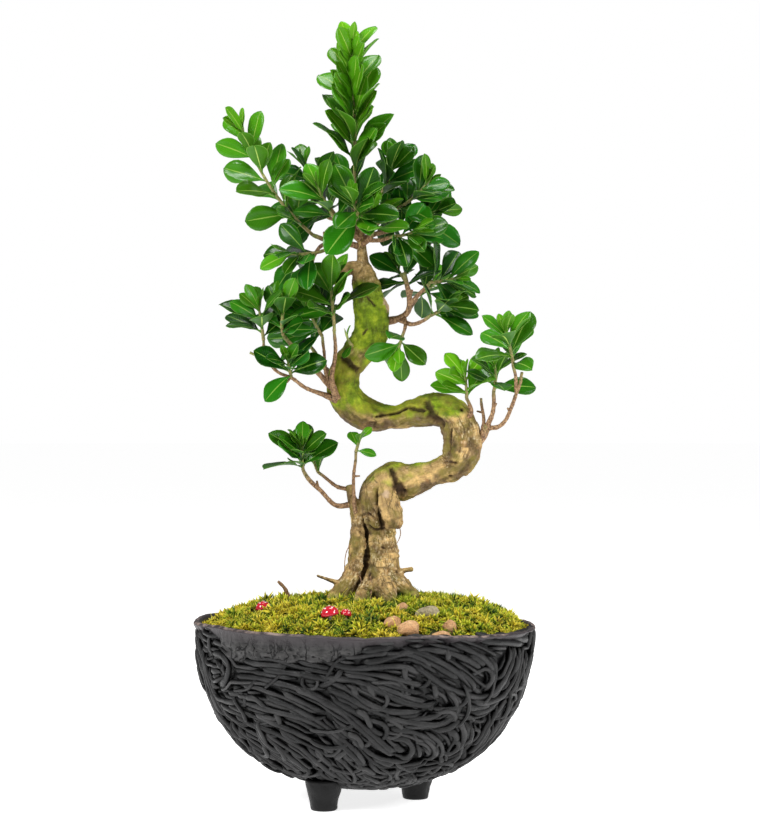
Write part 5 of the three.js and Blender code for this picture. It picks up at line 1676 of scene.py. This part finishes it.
def leaf_at(shoot, k, chance, attempt, bearing=None):
    """Leaf number k of a shoot, as in the CAD source: its place, its directions and its size."""
    leaves, full_length, first_bearing, widest = shoot[4:8]
    t = FIRST_LEAF + (LAST_LEAF - FIRST_LEAF) * min(1, k / (leaves - 1) if leaves > 1 else 1)
    point, axis = shoot_curve(shoot, t)
    side, front = across_shoot(shoot, axis)
    if bearing is None:
        bearing = first_bearing + GOLDEN_ANGLE * k
    turn = math.radians(bearing + LEAF_SWAY * (chance[0] - 0.5) + LEAF_TURNS[attempt])
    opening = widest + (TIP_OPEN - widest) * t**1.4
    opening = math.radians(opening + LEAF_SWAY * (chance[1] - 0.5) + LEAF_LIFTS[attempt])
    outward = front * math.cos(turn) + side * math.sin(turn)
    direction = unit(axis * math.cos(opening) + outward * math.sin(opening))
    facing = axis * 0.55 + LOW_LIGHT + (HIGH_LIGHT - LOW_LIGHT) * chance[4] ** 2
    facing = unit(facing - direction * facing.dot(direction))
    length = full_length * (1 - TIP_SHORTENING * t**4) * (LEAST_LENGTH + LENGTH_SPREAD * chance[2])
    return {
        "t": t,
        "point": point + outward * LEAF_ROOT * stem_radius(t),
        "direction": direction,
        "facing": facing,
        "across": np.cross(direction, facing),
        "length": length,
        "half_width": length * (NARROWEST + (BROADEST - NARROWEST) * chance[3]),
        "droop": LEAST_DROOP + (MOST_DROOP - LEAST_DROOP) * chance[4],
        "chance": chance,
    }


def leaf_tip(leaf):
    return leaf["point"] + (leaf["direction"] - leaf["droop"] * leaf["facing"]) * leaf["length"]


def grown_leaves(shoot, index):
    """The leaves of the CAD node: each takes the first of its places whose tip the node's solid has."""
    corners = places_of(frame["nodes"][shoot[0]].data) / MM
    draw = draws(4001 + 97 * index)
    found = []
    for k in range(shoot[4]):
        chance = [next(draw) for _ in range(5)]
        for attempt in range(len(LEAF_TURNS)):
            leaf = leaf_at(shoot, k, chance, attempt)
            tip = leaf_tip(leaf)
            gaps = [corners - tip - 0.5 * sign * leaf["facing"] for sign in (1, -1)]
            if min(np.linalg.norm(gap, axis=1).min() for gap in gaps) < 0.2:
                found.append(leaf)
                break
    return found


def blade_template():
    """A closed sheet: x across from -1 to 1, y along from 0 to 1, z 0 underneath and 1 on top."""
    bm = bmesh.new()
    bmesh.ops.create_grid(bm, x_segments=4, y_segments=11, size=0.5)
    for vert in bm.verts:
        vert.co = (vert.co.x * 2, vert.co.y + 0.5, 0)
    raised = bmesh.ops.extrude_face_region(bm, geom=bm.faces[:])["geom"]
    bmesh.ops.translate(bm, verts=[g for g in raised if isinstance(g, bmesh.types.BMVert)], vec=(0, 0, 1))
    bmesh.ops.recalc_face_normals(bm, faces=bm.faces)
    return mesh_of(bm, "blade")


# Middle of the crown, across and up.
CROWN_MIDDLE = (-5, 665)
# Half width of a leaf's stalk.
PETIOLE = 0.8
# How far along the blade each row of the template lies.
BLADE_ROWS = (0.0, 0.07, 0.14, 0.24, 0.36, 0.48, 0.60, 0.71, 0.81, 0.9, 0.965, 1.0)


def blade_outline(along, half_width, petiole):
    """Half width of the blade: a short petiole, then an obovate outline with a blunt tip."""
    share = np.clip((along - 0.08) / 0.92, 0, 1)
    outline = half_width * np.sin(math.pi * share**1.55) ** 0.66
    return np.maximum(outline, petiole * (1 - smoothstep(along, 0.8, 1.0)))


def blade_places(template, leaf, draw, steady):
    """A leaf's own shape: rolled to one side, folded along the midrib, with wavy edges and an arched tip."""
    across, row, upper = template.T
    along = np.interp(row, np.linspace(0, 1, len(BLADE_ROWS)), BLADE_ROWS)
    length, half = leaf["length"], leaf["half_width"]
    width = blade_outline(along, half * (0.84 + 0.16 * draw.random()), PETIOLE)
    fold = (0.10 + 0.16 * draw.random()) * smoothstep(along, 0.05, 0.3) * (1 - 0.35 * along)
    curl = np.abs(across) ** 1.6 * width * fold * 1.6
    ripple = np.sin(along * (9 + 4 * draw.random()) + draw.random() * 6 + across * 1.3)
    wave = 0.035 * half * ripple * np.abs(across) * 2
    twist = (draw.random() - 0.5) * 0.5 * along
    sway = (draw.random() - 0.5) * 0.10 * length * along**2
    thin = 0.28 + 0.75 * (1 - smoothstep(along, 0.02, 0.2))
    thin = thin + 0.28 * (np.abs(across) < 0.1) * (1 - upper) * (1 - along)
    lift = curl + wave + (upper - 0.5) * 2 * thin * (1 - 0.4 * np.abs(across) * (along > 0.12))
    reach, lifted = turned(across * width, lift, twist)
    middle = (
        leaf["point"]
        + (along * length)[:, None] * leaf["direction"]
        - (leaf["droop"] * along**2 * length)[:, None] * leaf["facing"]
    )
    roll = 1.2 * steady * (draw.random() - 0.5) * (0.35 + 0.65 * draw.random())
    sideways = abs(leaf["direction"][0]) * (1 - abs(leaf["direction"][2]))
    roll += 0.9 * steady * sideways * draw.random() * np.sign(leaf["across"][2])
    across, facing = turned(leaf["across"], leaf["facing"], -roll)
    return middle + (reach + sway)[:, None] * across + lifted[:, None] * facing, along


# The spire's leaves arch and roll less than the others.
SPIRE = "shoot_spire"
SPIRE_DROOP = 0.35
SPIRE_ROLL = 0.4


def make_shoot(shoot, index):
    """One leafy shoot: its stem with a bud at the tip, and its leaves."""
    is_spire = shoot[0] == SPIRE
    leaves = grown_leaves(shoot, index)
    draw = np.random.default_rng(9000 + index)
    extra = []
    more = math.ceil(shoot[4] * FILLING.get(shoot[0], USUAL_FILLING))
    for j in range(more):
        # leaves between the others; on the spire they grow towards the viewer
        chance = [draw.random() for _ in range(5)]
        bearing = None
        if is_spire:
            bearing = (-1) ** j * (18 + 40 * draw.random())
            chance[4] *= SPIRE_DROOP
        leaf = leaf_at(shoot, (j + 0.5) * shoot[4] / more, chance, 0, bearing)
        shrink = 0.95 - 0.35 * leaf["t"] ** 3 if is_spire else 0.8
        leaf["length"] *= shrink
        leaf["half_width"] *= shrink
        extra.append(leaf)
    if shoot[4] > 4:
        # small leaves that have just opened round the bud
        for j in range(3):
            chance = [draw.random() for _ in range(5)]
            leaf = leaf_at(shoot, shoot[4] - 1, chance, 0)
            point, axis = shoot_curve(shoot, 0.99)
            side, front = across_shoot(shoot, axis)
            turn = math.radians(shoot[6] + GOLDEN_ANGLE * (shoot[4] + j))
            outward = front * math.cos(turn) + side * math.sin(turn)
            direction = unit(axis + outward * (0.42 - 0.1 * j))
            facing = -outward
            facing = unit(facing - direction * facing.dot(direction))
            length = shoot[5] * (0.5 - 0.1 * j)
            leaf.update(
                t=1.0, point=point, direction=direction, facing=facing, across=np.cross(direction, facing),
                length=length, half_width=length * 0.2, droop=-0.02,
            )
            extra.append(leaf)
    template = blade_template()
    shape = places_of(template)
    sheet = repeat(template, len(leaves) + len(extra), "blades")
    places, marks, moods = [], [], []
    steady = SPIRE_ROLL if is_spire else 1.0
    for leaf in leaves + extra:
        spots, along = blade_places(shape, leaf, draw, steady)
        places.append(spots)
        marks.append(np.stack([shape[:, 0], along, shape[:, 2]], axis=1))
        opened = 0.55 * smoothstep(leaf["t"], 0.86, 1.0) * (0.25 + draw.random() * 0.5)
        youth = shoot[8] * (0.4 + 0.6 * leaf["t"]) + opened
        youth = np.clip(youth + 0.10 * (draw.random() - 0.5), 0, 1)
        tint = draw.random() ** 1.3
        x, y, z = leaf["point"] + 0.5 * leaf["length"] * leaf["direction"]
        # painted shade: leaves near the crown's middle and towards its back are darker, old ones most
        centre = 1 - smoothstep(math.hypot(x - CROWN_MIDDLE[0], z - CROWN_MIDDLE[1]), 25, 115)
        crown_shade = (0.35 + 0.65 * centre) * smoothstep(y, -60, 0) * (1 - 0.75 * youth) * (0.7 + 0.3 * tint)
        moods.append(np.repeat([[tint, youth, 0.85 * crown_shade]], len(shape), axis=0))
    set_places(sheet, np.vstack(places) * MM)
    set_attribute(sheet, "leaf_place", np.vstack(marks))
    set_attribute(sheet, "leaf_mood", np.vstack(moods))
    weld(sheet)
    stem = Limbs()
    t = np.linspace(0, 1, 24)
    line = np.array([shoot_curve(shoot, share)[0] for share in t])
    radii = stem_radius(t) * (1 + 0.12 * np.exp(-(((t * shoot[4]) % 1 - 0.5) ** 2) / 0.03))
    axis = shoot_curve(shoot, 1.0)[1]
    bud = line[-1] + np.array([3.0, 7.0, 12.0])[:, None] * axis
    line = np.vstack([line, bud])
    radii = np.concatenate([radii, [1.5, 1.1, 0.25]])
    young = np.concatenate([0.35 + 0.5 * t, [1, 1, 1]])
    stem.add(line, radii, 8, young=young)
    return sheet, stem.mesh("stem")


# Stones and toadstools.


def make_stone(name, place, half, turn, sink):
    x, y = place
    draw = draws(round(500 + 7 * x + 3 * y))
    phase = [next(draw) * 6 for _ in range(3)]
    bm = bmesh.new()
    bmesh.ops.create_icosphere(bm, subdivisions=5, radius=1)
    mesh = mesh_of(bm, name)
    ball = unit(places_of(mesh))
    knobs = 1 + 0.1 * np.sin(4 * ball[:, 0] + phase[0])
    knobs += 0.1 * np.sin(4 * ball[:, 1] + phase[1]) * np.cos(3 * ball[:, 2] + phase[2])
    seed = x * 0.37 + y
    knobs += 0.07 * cloud(ball, 0.55, seed, 3) + 0.03 * cloud(ball, 0.16, seed + 1, 3)
    spots = ball * knobs[:, None] * half
    spots[:, :2] = np.stack(turned(spots[:, 0], spots[:, 1], math.radians(turn)), axis=1)
    level = float(moss_top(x, y)) + half[2] - sink
    set_places(mesh, (spots + [x, y, level]) * MM)
    return mesh


def lean_about_y(places, degrees):
    x, z = turned(places[:, 0], places[:, 2], -math.radians(degrees))
    return np.stack([x, places[:, 1], z], axis=1)


def make_cap(cap):
    """A toadstool's cap: a spun dome whose edge rolls under."""
    dome = [(math.cos(a) * cap, math.sin(a) * cap * CAP_RISE) for a in np.linspace(math.pi / 2, 0, 16)]
    dome[0] = (0.0, cap * CAP_RISE)
    under = [(cap * 0.985, -0.6), (cap * 0.93, -1.1), (cap * 0.8, -UNDER_CAP), (cap * 0.5, -0.7), (0.0, -0.6)]
    bm = spun(dome + under, 48)
    bmesh.ops.remove_doubles(bm, verts=bm.verts, dist=1e-4)
    bmesh.ops.recalc_face_normals(bm, faces=bm.faces)
    return mesh_of(bm, "cap")


def make_dots(cap, seed):
    """White dots on a cap: low domes, larger near the top."""
    draw = np.random.default_rng(seed)
    bm = bmesh.new()
    spots = [(0.12, 0.3, 1.0)]
    spots += [(0.62, k * 1.26 + 0.4, 0.85) for k in range(5)]
    spots += [(1.12, k * 0.9, 0.62) for k in range(7)]
    for tilt, turn, size in spots:
        made = bmesh.ops.create_uvsphere(bm, u_segments=12, v_segments=6, radius=1)["verts"]
        tilt += 0.12 * (draw.random() - 0.5)
        turn += 0.3 * (draw.random() - 0.5)
        out = np.array([math.sin(tilt) * math.cos(turn), math.sin(tilt) * math.sin(turn), math.cos(tilt)])
        centre = out * [cap, cap, cap * CAP_RISE]
        normal = unit(out / [1, 1, CAP_RISE])
        side = unit(np.cross(normal, (0.31, 0.52, 0.8)))
        other = np.cross(normal, side)
        wide = cap * 0.125 * size
        for vert in made:
            x, y, z = vert.co
            vert.co = centre + side * x * wide + other * y * wide + normal * z * cap * 0.05
    return mesh_of(bm, "dots")


# Settings.


def colour_setting(name, description, default):
    return bpy.props.FloatVectorProperty(
        name=name, description=description, subtype="COLOR", size=3, min=0, max=1, default=default
    )


def length_setting(name, description, default, **limits):
    return bpy.props.FloatProperty(
        name=name, description=description, subtype="DISTANCE", unit="LENGTH", default=default, **limits
    )


def count_setting(name, description, default, least):
    return bpy.props.IntProperty(name=name, description=description, default=default, min=least)


def share_setting(name, description, default, most):
    return bpy.props.FloatProperty(name=name, description=description, default=default, min=0, max=most)


class BonsaiBowlSettings(bpy.types.PropertyGroup):
    colour: colour_setting("Clay Colour", "Colour of the cast strands", (0.0082, 0.0081, 0.0083))
    seed: count_setting("Strand Seed", "Changes how the strands are laid", 5, 0)
    steps: count_setting("Wall Steps", "Steps round the bowl's wall", 300, 48)


class BonsaiMossSettings(bpy.types.PropertyGroup):
    sprigs: count_setting("Tufts", "Number of moss tufts in the lower layer", 5600, 0)
    sprig_height: length_setting("Tuft Height", "Height of a moss tuft", 0.0052, min=0.001)
    stalks: count_setting("Stalks", "Number of thin stalks in the moss", 170, 0)
    deep: colour_setting("Deep Green", "Colour of shaded moss", (0.085, 0.20, 0.006))
    bright: colour_setting("Lime", "Colour of growing moss", (0.56, 0.66, 0.012))
    ripe: colour_setting("Straw", "Colour of ripe moss", (0.90, 0.72, 0.03))


class BonsaiWoodSettings(bpy.types.PropertyGroup):
    voxel: bpy.props.FloatProperty(
        name="Wood Detail", description="Size of the finest form in the bark, in millimetres", default=1.5,
        min=0.8, max=4,
    )
    pale: colour_setting("Pale Bark", "Colour of dry bark", (0.52, 0.345, 0.135))
    dark: colour_setting("Dark Bark", "Colour of damp bark", (0.14, 0.082, 0.028))
    algae: colour_setting("Algae", "Colour of the algae on the bark", (0.165, 0.27, 0.004))


class BonsaiLeafSettings(bpy.types.PropertyGroup):
    mature: colour_setting("Mature Leaf", "Colour of old leaves", (0.009, 0.092, 0.003))
    young: colour_setting("Young Leaf", "Colour of new leaves", (0.14, 0.47, 0.006))


class BonsaiStageSettings(bpy.types.PropertyGroup):
    camera_height: length_setting("Camera Height", "Height of the camera over the floor", 0.448)
    camera_distance: length_setting("Camera Distance", "Distance of the camera from the bowl's axis", 2.8)
    camera_shift: length_setting("Camera Offset", "How far the camera stands to the right", 0.0181)
    lens: bpy.props.FloatProperty(name="Lens", description="Focal length in millimetres", default=103, min=10)
    surroundings: share_setting("Surrounding Light", "Light from all round", 0.2, 2)
    floor: share_setting("Floor Brightness", "How pale the floor is", 0.94, 1)


# Operators.


# The stage, in metres: the floor's radius, the height that the lights face, and each light.
FLOOR_RADIUS = 40
LIT_HEIGHT = 0.42
LIGHTS = (
    ("key_light", (-1.9, -1.5, 1.9), 0.8, 62),
    ("right_light", (2.1, -1.3, 1.6), 0.8, 44),
    ("top_light", (0.2, 0.3, 2.9), 1.2, 52),
)


class BONSAI_OT_stage(bpy.types.Operator):
    """Camera, soft lights, white surroundings and a pale floor"""

    bl_idname = "bonsai.stage"
    bl_label = "Stage"

    def execute(self, context):
        settings = context.scene.bonsai_stage
        camera = bpy.data.objects.new("camera", bpy.data.cameras.new("camera"))
        context.scene.collection.objects.link(camera)
        camera.location = (settings.camera_shift, -settings.camera_distance, settings.camera_height)
        camera.rotation_euler = (math.pi / 2, 0, 0)
        camera.data.lens = settings.lens
        camera.data.sensor_width = 36
        camera.data.clip_end = 100
        context.scene.camera = camera
        bm = bmesh.new()
        bmesh.ops.create_circle(bm, cap_ends=True, segments=96, radius=FLOOR_RADIUS)
        floor = bpy.data.objects.new("floor", mesh_of(bm, "floor"))
        context.scene.collection.objects.link(floor)
        floor.data.materials.append(studio_floor(settings.floor))
        world = bpy.data.worlds.new("studio")
        context.scene.world = world
        world.use_nodes = True
        background = world.node_tree.nodes["Background"]
        background.inputs["Color"].default_value = (1, 1, 1, 1)
        seen = world.node_tree.nodes.new("ShaderNodeLightPath").outputs["Is Camera Ray"]
        strength = world.node_tree.nodes.new("ShaderNodeMapRange")
        strength.inputs["To Min"].default_value = settings.surroundings
        strength.inputs["To Max"].default_value = 1.0
        world.node_tree.links.new(seen, strength.inputs["Value"])
        world.node_tree.links.new(strength.outputs["Result"], background.inputs["Strength"])
        for name, place, size, power in LIGHTS:
            data = bpy.data.lights.new(name, "AREA")
            data.size = size
            data.energy = power
            light = bpy.data.objects.new(name, data)
            light.location = place
            facing = Vector((0, 0, LIT_HEIGHT)) - Vector(place)
            light.rotation_euler = facing.to_track_quat("-Z", "Y").to_euler()
            context.scene.collection.objects.link(light)
        context.scene.view_settings.view_transform = "Standard"
        return {"FINISHED"}


class BONSAI_OT_bowl(bpy.types.Operator):
    """The bowl's wall and feet, and the strands laid round it"""

    bl_idname = "bonsai.bowl"
    bl_label = "Bowl"

    def execute(self, context):
        settings = context.scene.bonsai_bowl
        clay = cast_clay(tuple(settings.colour))
        shell = make_bowl_shell(settings.steps)
        shape_bowl_shell(shell)
        set_in_place(shell, "bowl_wall", clay, ["bowl"])
        for place, side in zip(FEET, ("front_left", "right", "back_left")):
            foot = make_foot(place)
            set_places(foot, places_of(foot) * MM)
            set_attribute(foot, "crest", np.full(len(foot.vertices), 0.5))
            set_in_place(foot, "foot_" + side, clay, ["bowl"])
        runs, first = lay_strands(settings.seed)
        half = first // 2
        groups = {
            "strands_lower": runs[:half],
            "strands_middle": runs[half:first],
            "strands_over": runs[first:],
        }
        for name, group in groups.items():
            set_in_place(make_strands(group, name), name, clay, ["bowl"])
        return {"FINISHED"}


class BONSAI_OT_soil(bpy.types.Operator):
    """A crumbly finish for the soil"""

    bl_idname = "bonsai.soil"
    bl_label = "Soil"

    def execute(self, context):
        node = frame["nodes"]["soil"]
        node.data.materials.clear()
        node.data.materials.append(potting_soil())
        return {"FINISHED"}


class BONSAI_OT_moss(bpy.types.Operator):
    """The moss: a lumpy mat, sprigs over all of it and a few stalks"""

    bl_idname = "bonsai.moss"
    bl_label = "Moss"

    def execute(self, context):
        settings = context.scene.bonsai_moss
        moss = cushion_moss(tuple(settings.deep), tuple(settings.bright), tuple(settings.ripe))
        set_in_place(make_moss_bed(), "moss_bed", moss, ["moss"])
        tall = settings.sprig_height / MM
        fine = make_sprigs("moss_sprigs_fine", settings.sprigs, 31, tall, 7)
        set_in_place(fine, "moss_sprigs_fine", moss, ["moss"], smooth=False)
        tufts = make_sprigs("moss_sprigs_tall", settings.sprigs * 3 // 4, 47, tall * 1.3, 7)
        set_in_place(tufts, "moss_sprigs_tall", moss, ["moss"], smooth=False)
        set_in_place(make_stalks("moss_stalks", settings.stalks, 59), "moss_stalks", moss, ["moss"])
        return {"FINISHED"}


class BONSAI_OT_wood(bpy.types.Operator):
    """Trunk, roots, branches and the fallen twig"""

    bl_idname = "bonsai.wood"
    bl_label = "Wood"

    def execute(self, context):
        settings = context.scene.bonsai_wood
        bark = ficus_bark(tuple(settings.pale), tuple(settings.dark), tuple(settings.algae))
        core, lines = make_wood_core(settings.voxel)
        carve_bark(core, lines)
        set_in_place(core, "trunk", bark, ["tree_wood"])
        twig = twig_bark()
        set_in_place(make_twigs(), "twigs", twig, ["tree_wood"])
        stick = Limbs()
        points, radii = smooth_run(STICK, 1.5)
        reach = np.arange(len(points))
        stick.add(points, radii * (1 + 0.1 * np.sin(reach * 0.9)), 12, young=np.zeros(len(points)))
        set_in_place(stick.mesh("fallen_stick"), "fallen_stick", twig, ["fallen_twig"])
        return {"FINISHED"}


class BONSAI_OT_foliage(bpy.types.Operator):
    """Every leafy shoot: stem, bud and leaves"""

    bl_idname = "bonsai.foliage"
    bl_label = "Foliage"

    def execute(self, context):
        settings = context.scene.bonsai_leaf
        blade = ficus_leaf(tuple(settings.mature), tuple(settings.young))
        twig = bpy.data.materials["twig_bark"]
        for index, shoot in enumerate(SHOOTS):
            leaves, stem = make_shoot(shoot, index)
            short = shoot[0].replace("shoot_", "")
            set_in_place(leaves, "leaves_" + short, blade, [shoot[0]])
            set_in_place(stem, "stem_" + short, twig, [shoot[0]])
        return {"FINISHED"}


class BONSAI_OT_stones(bpy.types.Operator):
    """The stones on the moss"""

    bl_idname = "bonsai.stones"
    bl_label = "Stones"

    def execute(self, context):
        buff = weathered_stone("buff_stone", (0.74, 0.47, 0.24), (0.45, 0.22, 0.09))
        grey = weathered_stone("grey_stone", (0.50, 0.42, 0.27), (0.24, 0.20, 0.11))
        for name, place, half, turn, sink, warmth in STONES:
            mesh = make_stone(name + "_rock", place, half, turn, sink)
            set_in_place(mesh, name + "_rock", buff if warmth > 0.5 else grey, [name])
        return {"FINISHED"}


class BONSAI_OT_toadstools(bpy.types.Operator):
    """The red toadstool ornaments on their picks"""

    bl_idname = "bonsai.toadstools"
    bl_label = "Toadstools"

    def execute(self, context):
        red, white, cream = red_lacquer(), white_paint(), cream_paint()
        for index, (name, (x, y), cap, lean) in enumerate(TOADSTOOLS):
            stand = np.array([x, y, float(moss_top(x, y)) + CAP_LIFT])
            for mesh, suffix, paint, node in (
                (make_cap(cap), "_dome", red, "_cap"),
                (make_dots(cap, 70 + index), "_dots", white, "_cap"),
            ):
                set_places(mesh, (lean_about_y(places_of(mesh), lean) + stand) * MM)
                set_in_place(mesh, name + suffix, paint, [name + node])
            pick = Limbs()
            depth = np.linspace(0, PICK_LENGTH, 14)
            line = np.stack([0 * depth, 0 * depth, -UNDER_CAP - GAP - depth], axis=1)
            swell = PICK_RADIUS * (1 + 0.18 * smoothstep(-depth, -6, 0) - 0.25 * smoothstep(depth, 26, 34))
            pick.add(lean_about_y(line, lean) + stand, swell, 16)
            stem = pick.mesh(name + "_stem")
            set_in_place(stem, name + "_stem", cream, [name + "_pick"])
        return {"FINISHED"}


class BONSAI_PT_panel(bpy.types.Panel):
    """Lists the pieces of the bonsai"""

    bl_label = "Bonsai"
    bl_idname = "BONSAI_PT_panel"
    bl_space_type = "VIEW_3D"
    bl_region_type = "UI"
    bl_category = "Bonsai"

    def draw(self, context):
        layout = self.layout
        for settings in (getattr(context.scene, name) for name in SETTINGS):
            box = layout.box()
            for key in settings.bl_rna.properties.keys():
                if key not in ("rna_type", "name"):
                    box.prop(settings, key)
        for operator in OPERATORS:
            layout.operator(operator.bl_idname)


SETTINGS = {
    "bonsai_bowl": BonsaiBowlSettings,
    "bonsai_moss": BonsaiMossSettings,
    "bonsai_wood": BonsaiWoodSettings,
    "bonsai_leaf": BonsaiLeafSettings,
    "bonsai_stage": BonsaiStageSettings,
}
OPERATORS = (
    BONSAI_OT_stage,
    BONSAI_OT_bowl,
    BONSAI_OT_soil,
    BONSAI_OT_moss,
    BONSAI_OT_wood,
    BONSAI_OT_foliage,
    BONSAI_OT_stones,
    BONSAI_OT_toadstools,
)


def register():
    for cls in (*SETTINGS.values(), *OPERATORS, BONSAI_PT_panel):
        bpy.utils.register_class(cls)
    for name, cls in SETTINGS.items():
        setattr(bpy.types.Scene, name, bpy.props.PointerProperty(type=cls))


def unregister():
    for name in SETTINGS:
        delattr(bpy.types.Scene, name)
    for cls in (BONSAI_PT_panel, *reversed(OPERATORS), *reversed(list(SETTINGS.values()))):
        bpy.utils.unregister_class(cls)


def main():
    register()
    for operator in OPERATORS:
        group, call = operator.bl_idname.split(".")
        getattr(getattr(bpy.ops, group), call)()
    bpy.context.view_layer.update()


if __name__ == "__main__":
    main()
